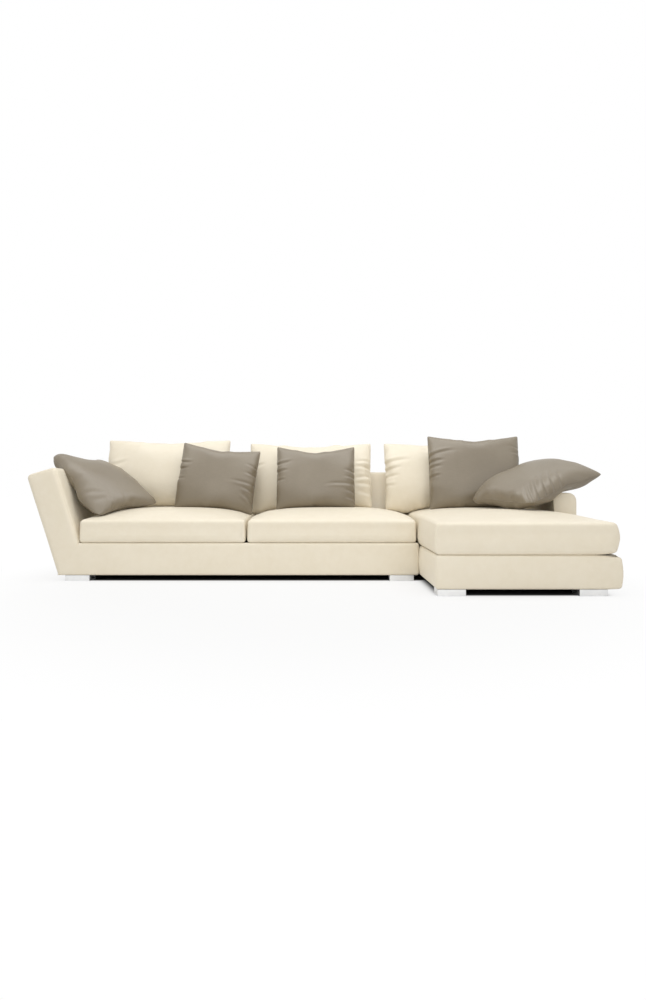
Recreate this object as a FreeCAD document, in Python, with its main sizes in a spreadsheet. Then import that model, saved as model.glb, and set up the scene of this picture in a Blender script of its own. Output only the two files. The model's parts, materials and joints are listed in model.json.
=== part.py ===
import FreeCAD, Part
import Sketcher
import math
import os

from FreeCAD import Placement, Rotation, Vector

# Corner sofa in two modules, all sizes in millimetres. X runs to the right seen from the front, Y to the
# back and Z up. The origin is on the floor, under the middle of the box round the whole sofa.

doc = FreeCAD.newDocument("corner_sofa")
sheet = doc.addObject("Spreadsheet::Sheet", "sizes")

DRIVING = {
    # where the two modules meet, and the front of the two-seat module
    "meeting_x": 639.5,
    "main_front_y": -196,
    "module_gap": 3,
    # modules
    "main_length": 2250,
    "main_height": 201,
    "base_depth": 785,
    "chaise_width": 985,
    "chaise_height": 182,
    "chaise_projection": 585,
    # leaning slab that forms the left arm and both backs
    "slab_lean": 17.3,
    "slab_thickness": 190,
    "slab_length": 642,
    "slab_rounding": 28,
    "slab_wall": 22,
    # low right arm
    "low_arm_width": 135,
    "low_arm_height": 329,
    "low_arm_inner_rounding": 22,
    "low_arm_outer_rounding": 60,
    # upholstered bands of the bases
    "cover_wall": 20,
    "cover_rounding": 14,
    "dust_thickness": 3,
    "deck_thickness": 8,
    # timber
    "rail_thickness": 28,
    "cross_rail_thickness": 24,
    "frame_clearance": 1,
    "rib_thickness": 18,
    "rib_knee": 100,
    "rib_heel": 150,
    "rib_end_margin": 60,
    "top_rail_height": 45,
    "low_arm_wall": 26,
    "low_arm_timber": 34,
    "block_length": 120,
    "block_width": 110,
    "block_height": 27,
    # elastic webbing
    "strap_width": 70,
    "strap_thickness": 2.5,
    "strap_spacing": 150,
    # block feet
    "foot_length": 151,
    "foot_width": 110,
    "foot_height": 35,
    "foot_wall": 4,
    "foot_rounding": 2,
    "foot_front_inset": 2,
    "foot_back_inset": 40,
    "main_foot_left_inset": 50,
    "main_foot_right_inset": 33,
    "chaise_foot_left_inset": 8,
    "chaise_foot_right_inset": 72,
    "foot_screw_spacing": 90,
    "screw_radius": 2.5,
    "screw_head_radius": 5.5,
    "screw_head_height": 3.5,
    "screw_grip": 30,
    # plates that tie the modules
    "link_length": 160,
    "link_width": 40,
    "link_thickness": 4,
    "link_foot_gap": 36,
    "link_screw_reach": 35,
    "link_screw_grip": 34,
    # seat cushions
    "seat_clearance": 0.4,
    "seat_gap_arm": 3,
    "seat_gap_middle": 12,
    "seat_gap_meeting": 20,
    "seat_gap_back": 3,
    "seat_front_height": 140,
    "seat_side_height": 166,
    "seat_crown_height": 217,
    "seat_crown_depth": 300,
    "seat_side_bulge": 1.5,
    "seat_corner": 16,
    "chaise_front_height": 172,
    "chaise_side_height": 186,
    "chaise_crown_height": 236,
    "chaise_crown_depth": 560,
    "chaise_left_inset": 4,
    "chaise_right_inset": 26,
    "chaise_arm_gap": 3,
    "chaise_side_bulge": 16,
    "core_margin": 60,
    "core_height": 90,
    "core_lift": 25,
    # how far the edge that a pillow stands on is drawn in, and its clearance over the seat
    "foot_dip": 2,
    "rest_clearance": 1.2,
    # back cushions, of which the left one is filled a little fuller
    "back_width": 860,
    "back_height": 461,
    "back_thickness": 230,
    "back_left_width": 885,
    "back_left_height": 487,
    "back_edge": 56,
    "back_dip": 28,
    "back_drawn_in": 14,
    "back_clearance": 4,
    "back_left_shift": -119,
    "back_middle_shift": -145,
    "back_right_shift": -150,
    # scatter cushions
    "small_width": 535,
    "small_height": 422,
    "small_thickness": 150,
    "large_width": 628,
    "large_height": 498,
    "large_thickness": 160,
    "scatter_edge": 8,
    "scatter_dip": 34,
    "scatter_drawn_in": 12,
    "scatter_clearance": 4,
    # scatter leaning across the left and middle back cushions
    "left_scatter_x": 265,
    "left_scatter_sink": 33,
    "left_scatter_lean": 13,
    "left_scatter_roll": 7,
    # scatter against the middle back cushion
    "middle_scatter_x": -110,
    "middle_scatter_lean": 15,
    # scatter against the right back cushion
    "right_scatter_x": 20,
    "right_scatter_lean": 14,
    # scatter lying up against the leaning arm, placed from the arm's foot, the sofa's back and the seats' top
    "arm_scatter_inset": 60,
    "arm_scatter_back_gap": 463,
    "arm_scatter_rise": 176,
    "arm_scatter_turn": 51.5,
    "arm_scatter_lean": 49,
    "arm_scatter_roll": -4.8,
    # scatter lying over the low arm, placed from the arm's inner side, the sofa's back and the arm's top
    "over_scatter_overhang": 85,
    "over_scatter_back_gap": 639,
    "over_scatter_rise": 67,
    "over_scatter_turn": -45,
    "over_scatter_lean": 69.7,
    "over_scatter_roll": -74,
}

for row, (alias, value) in enumerate(DRIVING.items(), start=1):
    cell = f"A{row}"
    sheet.set(cell, str(value))
    sheet.setAlias(cell, alias)
doc.recompute()


def size(alias):
    """A driving dimension as a number."""
    return float(getattr(sheet, alias))


def named(text):
    """An expression in which each driving dimension points at its cell."""
    words = []
    word = ""
    for letter in text + " ":
        if letter.isalnum() or letter in "_.":
            word += letter
            continue
        words.append(f"sizes.{word}" if word in DRIVING else word)
        words.append(letter)
        word = ""
    return "".join(words).strip()


def bind(thing, **expressions):
    """Bind properties to expressions; two underscores stand for a point in the property's path."""
    for name, text in expressions.items():
        thing.setExpression(name.replace("__", "."), named(str(text)))


def place(thing, x, y, z):
    bind(thing, Placement__Base__x=x, Placement__Base__y=y, Placement__Base__z=z)


parts = {}


def keep(label, thing):
    """Name a finished sub-part, which is written to its own file."""
    thing.Label = label
    parts[label] = thing
    return thing


# Places that several sub-parts share, as expressions
MAIN_LEFT = "(meeting_x - main_length)"
MAIN_RIGHT = "(meeting_x - module_gap)"
MAIN_RUN = "(main_length - module_gap)"
CHAISE_RIGHT = "(meeting_x + chaise_width)"
CHAISE_FRONT = "(main_front_y - chaise_projection)"
CHAISE_RUN = "(base_depth + chaise_projection)"
BACK_Y = "(main_front_y + base_depth)"
REACH = "(slab_length * sin(slab_lean))"
RISE = "(slab_length * cos(slab_lean))"
TOP_IN = "(slab_thickness * cos(slab_lean))"
TOP_UP = "(slab_thickness * sin(slab_lean))"


def slab_foot(height):
    """Width of the slab's mitred foot on a base of this height."""
    return f"((slab_thickness - {height} * sin(slab_lean)) / cos(slab_lean))"


MAIN_FOOT = slab_foot("main_height")
CHAISE_FOOT = slab_foot("chaise_height")


def slab_point(inward, along):
    """A point of the slab's section, from its outer bottom corner: how far in and how far up."""
    return (
        f"({inward} * cos(slab_lean) - {along} * sin(slab_lean))",
        f"({inward} * sin(slab_lean) + {along} * cos(slab_lean))",
    )


def outline(body, name, role, points, offset=None):
    """A closed polygon on an origin plane of the body, each corner bound to two expressions."""
    plane = next(item for item in body.Origin.OriginFeatures if item.Role == role)
    sketch = body.newObject("Sketcher::SketchObject", name)
    sketch.AttachmentSupport = [(plane, "")]
    sketch.MapMode = "FlatFace"
    if offset:
        bind(sketch, AttachmentOffset__Base__z=offset)
    count = len(points)
    for index in range(count):
        start = Vector(index, index * index, 0)
        sketch.addGeometry(Part.LineSegment(start, start + Vector(1, 0.5, 0)), False)
    for index in range(count):
        sketch.addConstraint(Sketcher.Constraint("Coincident", index, 2, (index + 1) % count, 1))
    for index, (across, up) in enumerate(points):
        for kind, axis, text in (("DistanceX", -2, across), ("DistanceY", -1, up)):
            if text == "0":
                sketch.addConstraint(Sketcher.Constraint("PointOnObject", index, 1, axis))
                continue
            spot = sketch.addConstraint(Sketcher.Constraint(kind, -1, 1, index, 1, 1.0 + index))
            sketch.setExpression(f"Constraints[{spot}]", named(text))
    return sketch


def pad(body, sketch, length, reverse=False):
    feature = body.newObject("PartDesign::Pad", sketch.Name + "_pad")
    feature.Profile = sketch
    feature.Reversed = reverse
    bind(feature, Length=length)
    return feature


def pocket(body, sketch, length, reverse=False):
    feature = body.newObject("PartDesign::Pocket", sketch.Name + "_cut")
    feature.Profile = sketch
    feature.Reversed = reverse
    bind(feature, Length=length)
    return feature


def fillet(body, base, test, radius):
    """Round the straight edges of the body for which test(middle, direction) holds."""
    doc.recompute()
    names = []
    for index, edge in enumerate(base.Shape.Edges, start=1):
        if len(edge.Vertexes) != 2:
            continue
        start, end = (vertex.Point for vertex in edge.Vertexes)
        if test((start + end) * 0.5, (end - start).normalize()):
            names.append(f"Edge{index}")
    feature = body.newObject("PartDesign::Fillet", base.Name + "_round")
    feature.Base = (base, names)
    bind(feature, Radius=radius)
    return feature


def near(value, target):
    return abs(value - target) < 0.01


def box(name, length, width, height, x, y, z):
    thing = doc.addObject("Part::Box", name)
    bind(thing, Length=length, Width=width, Height=height)
    place(thing, x, y, z)
    return thing


def prism(name, sides, radius, height, x, y, z):
    """An upright bar with so many sides; radius is the distance of its corners from its axis."""
    thing = doc.addObject("Part::Prism", name)
    thing.Polygon = sides
    bind(thing, Circumradius=radius, Height=height)
    place(thing, x, y, z)
    return thing


def group(name, members):
    """Identical pieces that share a node, as separate solids."""
    thing = doc.addObject("Part::Compound", name)
    thing.Links = members
    return thing


def cut(name, base, tool):
    thing = doc.addObject("Part::Cut", name)
    thing.Base = base
    thing.Tool = tool
    return thing


# Block feet: a steel shell with a closed top plate, held by two screws from inside


def screw(name, x, y, seat, grip):
    """A screw that points up, its hexagon head under the height that it is seated at."""
    head = prism(name + "_head", 6, "screw_head_radius", "screw_head_height", x, y,
                 f"({seat} - screw_head_height)")
    shank = prism(name + "_shank", 8, "screw_radius", grip, x, y, seat)
    whole = doc.addObject("Part::Fuse", name)
    whole.Base = head
    whole.Tool = shank
    return whole


def foot(label, x, y, screws):
    body = doc.addObject("PartDesign::Body", label + "_body")
    rectangle = [("0", "0"), ("foot_length", "0"), ("foot_length", "foot_width"), ("0", "foot_width")]
    block = pad(body, outline(body, label + "_plan", "XY_Plane", rectangle), "foot_height")
    fillet(body, block, lambda middle, way: abs(way.z) > 0.9, "foot_rounding")
    near_x, far_x = "foot_wall", "(foot_length - foot_wall)"
    near_y, far_y = "foot_wall", "(foot_width - foot_wall)"
    hollow = [(near_x, near_y), (far_x, near_y), (far_x, far_y), (near_x, far_y)]
    pocket(body, outline(body, label + "_hollow", "XY_Plane", hollow), "foot_height - foot_wall", True)
    place(body, x, y, "0")
    keep(label, cut(label + "_drilled", body, group(label + "_pins", screws)))


def feet(prefix, left, right, front, back):
    """Four feet of a module with their screws and the blocks that they are screwed to."""
    spots = {
        "front_left": (left, f"({front} + foot_front_inset)"),
        "front_right": (f"({right} - foot_length)", f"({front} + foot_front_inset)"),
        "back_left": (left, f"({back} - foot_back_inset - foot_width)"),
        "back_right": (f"({right} - foot_length)", f"({back} - foot_back_inset - foot_width)"),
    }
    screws = []
    blocks = []
    for name, (x, y) in spots.items():
        if name.startswith("front"):
            block_y = f"({front} + cover_wall + frame_clearance)"
        else:
            block_y = f"({y} + foot_width / 2 - block_width / 2)"
        blocks.append(
            box(f"{prefix}_block_{name}", "block_length", "block_width", "block_height",
                f"({x} + foot_length / 2 - block_length / 2)", block_y, "foot_height + dust_thickness")
        )
        pair = [
            screw(f"{prefix}_screw_{name}_{end}",
                  f"({x} + foot_length / 2 + {side} * foot_screw_spacing / 2)",
                  f"({y} + foot_width / 2)", "(foot_height - foot_wall)", "screw_grip")
            for end, side in (("left", -1), ("right", 1))
        ]
        foot(f"{prefix}_foot_{name}", x, y, pair)
        screws += pair
    all_screws = keep(f"{prefix}_foot_screws", group(f"{prefix}_screws", screws))
    all_blocks = group(f"{prefix}_blocks", blocks)
    keep(f"{prefix}_foot_blocks", cut(f"{prefix}_drilled_blocks", all_blocks, all_screws))
    return all_screws, all_blocks


# Timber, webbing, deck and underside of a module


def module_frame(prefix, left, right, front, back, height, blocks, pins, cross_count):
    """Rails along the module at front and back and cross rails between them, notched over the foot blocks.

    The cross rails are drilled for the pins that tie the modules."""
    low = "(foot_height + dust_thickness)"
    tall = f"({height} - dust_thickness - deck_thickness - 2 * strap_thickness)"
    for end, y in (("front", front), ("back", f"({back} - rail_thickness)")):
        rail = box(f"{prefix}_{end}_timber", f"({right} - {left})", "rail_thickness", tall, left, y, low)
        keep(f"{prefix}_{end}_rail", cut(f"{prefix}_{end}_notched", rail, blocks))
    cross = []
    run = f"({back} - {front} - 2 * rail_thickness)"
    for index in range(cross_count):
        share = index / (cross_count - 1)
        x = f"({left} + {share} * ({right} - {left} - cross_rail_thickness))"
        cross.append(
            box(f"{prefix}_cross_{index}", "cross_rail_thickness", run, tall, x,
                f"({front} + rail_thickness)", low)
        )
    notched = cut(f"{prefix}_cross_notched", group(f"{prefix}_cross", cross), blocks)
    keep(f"{prefix}_cross_rails", cut(f"{prefix}_cross_drilled", notched, pins))


def suspension(prefix, left, right, front, back, height, across_count, along_count):
    """Elastic straps from front to back, straps along the module over them, and the deck pad on top."""
    low = f"(foot_height + {height} - deck_thickness - 2 * strap_thickness)"
    across = []
    for index in range(across_count):
        share = (index + 0.5) / across_count
        x = f"({left} + {share} * ({right} - {left}) - strap_width / 2)"
        across.append(box(f"{prefix}_across_{index}", "strap_width", f"({back} - {front})", "strap_thickness",
                          x, front, low))
    keep(f"{prefix}_webbing_across", group(f"{prefix}_across", across))
    along = []
    for index in range(along_count):
        share = (index + 0.5) / along_count
        y = f"({front} + {share} * ({back} - {front}) - strap_width / 2)"
        along.append(box(f"{prefix}_along_{index}", f"({right} - {left})", "strap_width", "strap_thickness",
                         left, y, f"({low} + strap_thickness)"))
    keep(f"{prefix}_webbing_along", group(f"{prefix}_along", along))
    deck = box(f"{prefix}_deck", f"({right} - {left})", f"({back} - {front})", "deck_thickness", left, front,
               f"(foot_height + {height} - deck_thickness)")
    keep(f"{prefix}_deck_pad", deck)


def dust_cover(prefix, left, right, front, back, screws):
    cloth = box(f"{prefix}_dust", f"({right} - {left})", f"({back} - {front})", "dust_thickness", left, front,
                "foot_height")
    return cut(f"{prefix}_dust_pierced", cloth, screws)


# Upholstered bands of the bases


def main_base_cover():
    """Front band and inner end band, with mitred feet for the leaning arm and back."""
    body = doc.addObject("PartDesign::Body", "main_base_body")
    face = [("0", "0"), (MAIN_RUN, "0"), (MAIN_RUN, "main_height"), (MAIN_FOOT, "main_height")]
    block = pad(body, outline(body, "main_base_face", "XZ_Plane", face), "base_depth", True)
    mitre_end = f"(base_depth - {MAIN_FOOT})"
    behind = [("base_depth", "0"), ("base_depth", "main_height"), (mitre_end, "main_height")]
    mitred = pocket(body, outline(body, "main_base_mitre", "YZ_Plane", behind), "main_length", True)
    run = size("main_length") - size("module_gap")
    fillet(
        body, mitred, lambda middle, way: near(middle.y, 0) and (abs(way.x) > 0.9 or near(middle.x, run)),
        "cover_rounding",
    )
    inner_x = f"({MAIN_RUN} - cover_wall)"
    well = [("0", "cover_wall"), (inner_x, "cover_wall"), (inner_x, "base_depth"), ("0", "base_depth")]
    pocket(body, outline(body, "main_base_well", "XY_Plane", well), "main_height", True)
    place(body, MAIN_LEFT, "main_front_y", "foot_height")
    keep("main_base_cover", body)


def chaise_base_cover():
    """Front band and two side bands, with a mitred foot for the back."""
    body = doc.addObject("PartDesign::Body", "chaise_base_body")
    plan = [("0", "0"), ("chaise_width", "0"), ("chaise_width", CHAISE_RUN), ("0", CHAISE_RUN)]
    block = pad(body, outline(body, "chaise_base_plan", "XY_Plane", plan), "chaise_height")
    mitre_end = f"({CHAISE_RUN} - {CHAISE_FOOT})"
    behind = [(CHAISE_RUN, "0"), (CHAISE_RUN, "chaise_height"), (mitre_end, "chaise_height")]
    mitred = pocket(body, outline(body, "chaise_base_mitre", "YZ_Plane", behind), "chaise_width", True)
    width = size("chaise_width")

    def is_outer(middle, way):
        at_side = near(middle.x, 0) or near(middle.x, width)
        return near(middle.y, 0) or (at_side and abs(way.y) > 0.9)

    fillet(body, mitred, is_outer, "cover_rounding")
    near_x, far_x = "cover_wall", "(chaise_width - cover_wall)"
    well = [(near_x, "cover_wall"), (far_x, "cover_wall"), (far_x, CHAISE_RUN), (near_x, CHAISE_RUN)]
    pocket(body, outline(body, "chaise_base_well", "XY_Plane", well), "chaise_height", True)
    place(body, "meeting_x", CHAISE_FRONT, "foot_height")
    keep("chaise_base_cover", body)


# Leaning arm and backs: one slab section, mitred where the arm and the back meet


def cavity_points(side):
    """Corners of the hollow in the slab; side turns (in, up) into the sketch's own coordinates."""
    outer = "slab_wall"
    inner = "(slab_thickness - slab_wall)"
    top = "(slab_length - slab_wall)"
    return [side(*slab_point(*spot)) for spot in ((outer, "0"), (inner, "0"), (inner, top), (outer, top))]


def rib_points(side, foot_width):
    """Corners of a knee rib, which is fixed to the frame by its heel and stands up in the slab's hollow."""
    outer = "(slab_wall + frame_clearance)"
    inner = "(slab_thickness - slab_wall - frame_clearance)"
    top = "(slab_length - slab_wall - frame_clearance - top_rail_height)"
    low = "(dust_thickness + block_height)"
    start = f"(({low} - {outer} * sin(slab_lean)) / cos(slab_lean))"
    heel = f"({foot_width} + frame_clearance)"
    return [
        side(heel, low), side(heel, "rib_heel"), side(*slab_point(inner, "rib_knee")),
        side(*slab_point(inner, top)), side(*slab_point(outer, top)), side(*slab_point(outer, start)),
    ]


def top_rail_points(side):
    """Corners of the rail that lies on the ribs."""
    outer = "(slab_wall + frame_clearance)"
    inner = "(slab_thickness - slab_wall - frame_clearance)"
    top = "(slab_length - slab_wall - frame_clearance)"
    low = f"({top} - top_rail_height)"
    return [side(*slab_point(*spot)) for spot in ((outer, low), (inner, low), (inner, top), (outer, top))]


def arm_side(inward, up):
    return f"({REACH} + {inward})", up


def back_side(inward, up):
    return f"(base_depth - {inward})", up


def left_arm():
    body = doc.addObject("PartDesign::Body", "left_arm_body")
    mitre_top = (f"({REACH} + {MAIN_FOOT})", "main_height")
    face = [(REACH, "0"), mitre_top, (TOP_IN, f"({RISE} + {TOP_UP})"), ("0", RISE)]
    slab = pad(body, outline(body, "left_arm_face", "XZ_Plane", face), f"(base_depth + {REACH})", True)
    far_x, far_y = f"({REACH} + slab_thickness)", f"(base_depth + {REACH})"
    behind = [("0", far_y), (far_x, "(base_depth - slab_thickness)"), (far_x, far_y)]
    mitred = pocket(body, outline(body, "left_arm_mitre", "XY_Plane", behind), "2 * slab_length", True)
    top = size("slab_length") * math.cos(math.radians(size("slab_lean")))

    def is_soft(middle, way):
        at_top = middle.z > top - 1 and abs(way.y) > 0.9
        return at_top or (near(middle.y, 0) and middle.z > top / 5)

    fillet(body, mitred, is_soft, "slab_rounding")
    hollow = outline(body, "left_arm_hollow", "XZ_Plane", cavity_points(arm_side), "-slab_wall")
    pocket(body, hollow, f"(base_depth + {REACH})", False)
    place(body, f"({MAIN_LEFT} - {REACH})", "main_front_y", "foot_height")
    keep("left_arm_cover", body)

    ribs = []
    for index in range(3):
        rib = doc.addObject("PartDesign::Body", f"left_arm_rib_{index}")
        pad(rib, outline(rib, f"left_arm_rib_face_{index}", "XZ_Plane", rib_points(arm_side, MAIN_FOOT)),
            "rib_thickness", True)
        first = "(slab_wall + rib_end_margin)"
        last = "(base_depth - slab_thickness - rib_end_margin)"
        place(rib, f"({MAIN_LEFT} - {REACH})", f"(main_front_y + {first} + {index / 2} * ({last} - {first}))",
              "foot_height")
        ribs.append(rib)
    keep("left_arm_ribs", group("left_arm_rib_set", ribs))

    rail = doc.addObject("PartDesign::Body", "left_arm_rail_body")
    pad(rail, outline(rail, "left_arm_rail_face", "XZ_Plane", top_rail_points(arm_side)),
        "(base_depth - slab_thickness - slab_wall)", True)
    place(rail, f"({MAIN_LEFT} - {REACH})", "main_front_y + slab_wall + frame_clearance", "foot_height")
    keep("left_arm_rail", rail)


def back(prefix, left, run, height, foot_width, mitred_end, rib_count):
    """A leaning back over the run of a module, with its ribs and top rail."""
    body = doc.addObject("PartDesign::Body", f"{prefix}_back_body")
    end = [
        ("base_depth", "0"), (f"(base_depth - {foot_width})", height),
        (f"(base_depth + {REACH} - {TOP_IN})", f"({RISE} + {TOP_UP})"), (f"(base_depth + {REACH})", RISE),
    ]
    last = pad(body, outline(body, f"{prefix}_back_end", "YZ_Plane", end), run)
    if mitred_end:
        low = "(base_depth - slab_thickness)"
        corner = [("0", low), (f"({REACH} + slab_thickness)", low), ("0", f"(base_depth + {REACH})")]
        mitre = outline(body, f"{prefix}_back_mitre", "XY_Plane", corner)
        last = pocket(body, mitre, "2 * slab_length", True)
    top = size("slab_length") * math.cos(math.radians(size("slab_lean")))
    last = fillet(body, last, lambda middle, way: middle.z > top - 1 and abs(way.x) > 0.9, "slab_rounding")
    start = None if mitred_end else "slab_wall"
    hollow_run = f"({run} - slab_wall)" if mitred_end else f"({run} - 2 * slab_wall)"
    hollow = outline(body, f"{prefix}_back_hollow", "YZ_Plane", cavity_points(back_side), start)
    pocket(body, hollow, hollow_run, True)
    place(body, left, "main_front_y", "foot_height")
    keep(f"{prefix}_back_cover", body)

    inner_left = f"({REACH} + slab_thickness)" if mitred_end else "(slab_wall + frame_clearance)"
    inner_right = f"({run} - slab_wall - frame_clearance)"
    ribs = []
    for index in range(rib_count):
        rib = doc.addObject("PartDesign::Body", f"{prefix}_back_rib_{index}")
        face = outline(rib, f"{prefix}_back_rib_face_{index}", "YZ_Plane", rib_points(back_side, foot_width))
        pad(rib, face, "rib_thickness")
        first = f"({inner_left} + rib_end_margin)"
        last_x = f"({inner_right} - rib_end_margin - rib_thickness)"
        share = index / (rib_count - 1)
        place(rib, f"({left} + {first} + {share} * ({last_x} - {first}))", "main_front_y", "foot_height")
        ribs.append(rib)
    keep(f"{prefix}_back_ribs", group(f"{prefix}_back_rib_set", ribs))

    rail = doc.addObject("PartDesign::Body", f"{prefix}_back_rail_body")
    pad(rail, outline(rail, f"{prefix}_back_rail_end", "YZ_Plane", top_rail_points(back_side)),
        f"({inner_right} - {inner_left})")
    place(rail, f"({left} + {inner_left})", "main_front_y", "foot_height")
    keep(f"{prefix}_back_top_rail", rail)


def right_arm():
    """Low arm on the chaise: rounded over to its outer side, and cut off along the leaning back."""
    body = doc.addObject("PartDesign::Body", "right_arm_body")
    face = [("0", "0"), ("low_arm_width", "0"), ("low_arm_width", "low_arm_height"), ("0", "low_arm_height")]
    deep = f"(base_depth - {CHAISE_FOOT})"
    slope = "(low_arm_height * tan(slab_lean))"
    block = pad(body, outline(body, "right_arm_face", "XZ_Plane", face), f"({deep} + {slope})", True)
    width = size("low_arm_width")
    height = size("low_arm_height")
    outer = fillet(body, block, lambda middle, way: near(middle.x, width) and near(middle.z, height),
                   "low_arm_outer_rounding")
    inner = fillet(body, outer, lambda middle, way: near(middle.x, 0) and near(middle.z, height),
                   "low_arm_inner_rounding")
    fillet(body, inner, lambda middle, way: near(middle.y, 0) and abs(way.z) > 0.9, "cover_rounding")
    behind = [(deep, "0"), (f"({deep} + {slope})", "0"), (f"({deep} + {slope})", "low_arm_height")]
    pocket(body, outline(body, "right_arm_slope", "YZ_Plane", behind), "low_arm_width", True)
    near_x, far_x = "low_arm_wall", "(low_arm_width - low_arm_wall)"
    near_y, far_y = "low_arm_wall", f"({deep} - low_arm_wall)"
    well = [(near_x, near_y), (far_x, near_y), (far_x, far_y), (near_x, far_y)]
    floor_plan = outline(body, "right_arm_well", "XY_Plane", well)
    pocket(body, floor_plan, "(low_arm_height - 2 * low_arm_wall)", True)
    place(body, f"({CHAISE_RIGHT} - low_arm_width)", "main_front_y", "(foot_height + chaise_height)")
    keep("right_arm_cover", body)

    x = f"({CHAISE_RIGHT} - low_arm_width + low_arm_wall + frame_clearance)"
    y = "(main_front_y + low_arm_wall + frame_clearance)"
    z = "(foot_height + chaise_height)"
    thick = "(low_arm_width - 2 * low_arm_wall - 2 * frame_clearance)"
    run = f"({deep} - 2 * low_arm_wall - 2 * frame_clearance)"
    tall = "(low_arm_height - 2 * low_arm_wall - frame_clearance)"
    outside = box("right_arm_timber", thick, run, tall, x, y, z)
    inside = box("right_arm_opening", thick, f"({run} - 2 * low_arm_timber)",
                 f"({tall} - 2 * low_arm_timber)", x, f"({y} + low_arm_timber)", f"({z} + low_arm_timber)")
    keep("right_arm_frame", cut("right_arm_ladder", outside, inside))


# Soft forms

# Rise in the middle of a seat cushion's front edge, where its sides aren't lower yet
LEAST_CROWN = 0.5

# How quickly a pillow rounds over from its edge to its crown: 1 is a straight slope
CROWN_POWER = 2.3


def crowned_section(y, half, bottom, front_top, side_rise, crown_rise, bulge, corner):
    """Section of a seat cushion across its width: flat below, bowed sides, and a top made of four arcs."""
    inset = corner * 0.7

    def top_height(share):
        return front_top + crown_rise - (crown_rise - side_rise) * abs(share) ** 3.2

    side_top = top_height(1) - inset
    left_low = Vector(-half + inset * 0.4, y, bottom)
    left_high = Vector(-half, y, side_top)
    right_low = Vector(half - inset * 0.4, y, bottom)
    right_high = Vector(half, y, side_top)
    middle_z = (bottom + side_top) / 2
    shares = (-1 + inset / half, -0.75, -0.5, -0.25, 0, 0.25, 0.5, 0.75, 1 - inset / half)
    spots = [Vector(share * half, y, top_height(share)) for share in shares]
    edges = [Part.LineSegment(right_low, left_low).toShape()]
    edges.append(Part.Arc(left_low, Vector(-half - bulge, y, middle_z), left_high).toShape())
    edges.append(Part.LineSegment(left_high, spots[0]).toShape())
    for index in range(0, 8, 2):
        edges.append(Part.Arc(*spots[index : index + 3]).toShape())
    edges.append(Part.LineSegment(spots[-1], right_high).toShape())
    edges.append(Part.Arc(right_high, Vector(half + bulge, y, middle_z), right_low).toShape())
    return Part.Wire(edges)


def seat_form(width, depth, front_height, side_height, crown_height, crown_depth, bulge, corner):
    """A seat cushion that rises from its straight front edge to its crown, and is level behind it."""
    sections = []
    stations = [
        (0, corner), (corner * 0.35, corner * 0.3), (corner, 0),
        (crown_depth * 0.25, 0), (crown_depth * 0.5, 0), (crown_depth * 0.75, 0), (crown_depth, 0),
        (depth - corner, 0), (depth - corner * 0.35, corner * 0.3), (depth, corner),
    ]
    for y, inset in stations:
        lift = math.sin(0.5 * math.pi * min(y / crown_depth, 1))
        side_rise = (side_height - front_height) * lift
        crown_rise = (crown_height - front_height) * lift + LEAST_CROWN
        sections.append(
            crowned_section(y, width / 2 - inset, inset * 0.4, front_height - inset, side_rise, crown_rise,
                            bulge, corner)
        )
    return Part.makeLoft(sections, True, True)


def drawn_ring(width, height, dips, drawn_in, inset, y):
    """Corners of a pillow's outline at this y, each side moved in parallel by the inset.

    Its corners stand out and the middles of its sides are drawn in, above and below by the two dips."""
    corner_x, corner_z = width / 2, height / 2
    upper, lower = dips
    spots = [
        Vector(-corner_x, 0, corner_z), Vector(0, 0, corner_z - upper), Vector(corner_x, 0, corner_z),
        Vector(corner_x - drawn_in, 0, 0), Vector(corner_x, 0, -corner_z), Vector(0, 0, lower - corner_z),
        Vector(-corner_x, 0, -corner_z), Vector(drawn_in - corner_x, 0, 0),
    ]
    inward = []
    for start, end in zip(spots, spots[1:] + spots[:1]):
        along = (end - start).normalize()
        inward.append(Vector(along.z, 0, -along.x))
    ring = []
    for index, spot in enumerate(spots):
        before, after = inward[index - 1], inward[index]
        ring.append(spot + (before + after) * (inset / (1 + before.dot(after))) + Vector(0, y, 0))
    return ring


def pillow_form(width, height, thickness, edge, dips, drawn_in):
    """A pillow about its middle: width along X, thickness along Y and height along Z.

    Flat facets join outlines that get smaller from its edge to the crown on either side."""
    deepest = height / 2 - max(dips)
    levels = []
    for share in (0.95, 0.8, 0.62, 0.45, 0.3, 0.17, 0.07, 0):
        fullness = 1 - (1 - share) ** CROWN_POWER
        levels.append((share * deepest, edge / 2 + (thickness - edge) / 2 * fullness))
    rings = [drawn_ring(width, height, dips, drawn_in, inset, -y) for inset, y in levels]
    rings += [drawn_ring(width, height, dips, drawn_in, inset, y) for inset, y in reversed(levels)]
    loops = [rings[0], rings[-1][::-1]]
    for near_ring, far_ring in zip(rings, rings[1:]):
        for index, spot in enumerate(near_ring):
            loops.append([spot, near_ring[index - 1], far_ring[index - 1], far_ring[index]])
    faces = [Part.Face(Part.makePolygon(loop + loop[:1])) for loop in loops]
    return Part.makeSolid(Part.makeShell(faces))


def soft(label, shape, placement):
    """Name a soft solid whose form is worked out here from the sheet, then put it in its place."""
    thing = doc.addObject("Part::Feature", label + "_form")
    thing.Shape = shape
    thing.Placement = placement
    return keep(label, thing)


def upright(x, y, z, turn=0, lean=0, roll=0):
    """A placement: roll in its own plane, then lean back, then turn about the vertical."""
    place_turn = Rotation(Vector(0, 0, 1), turn)
    place_lean = Rotation(Vector(1, 0, 0), -lean)
    place_roll = Rotation(Vector(0, 1, 0), roll)
    return Placement(Vector(x, y, z), place_turn * place_lean * place_roll)


# Building the sofa

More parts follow.
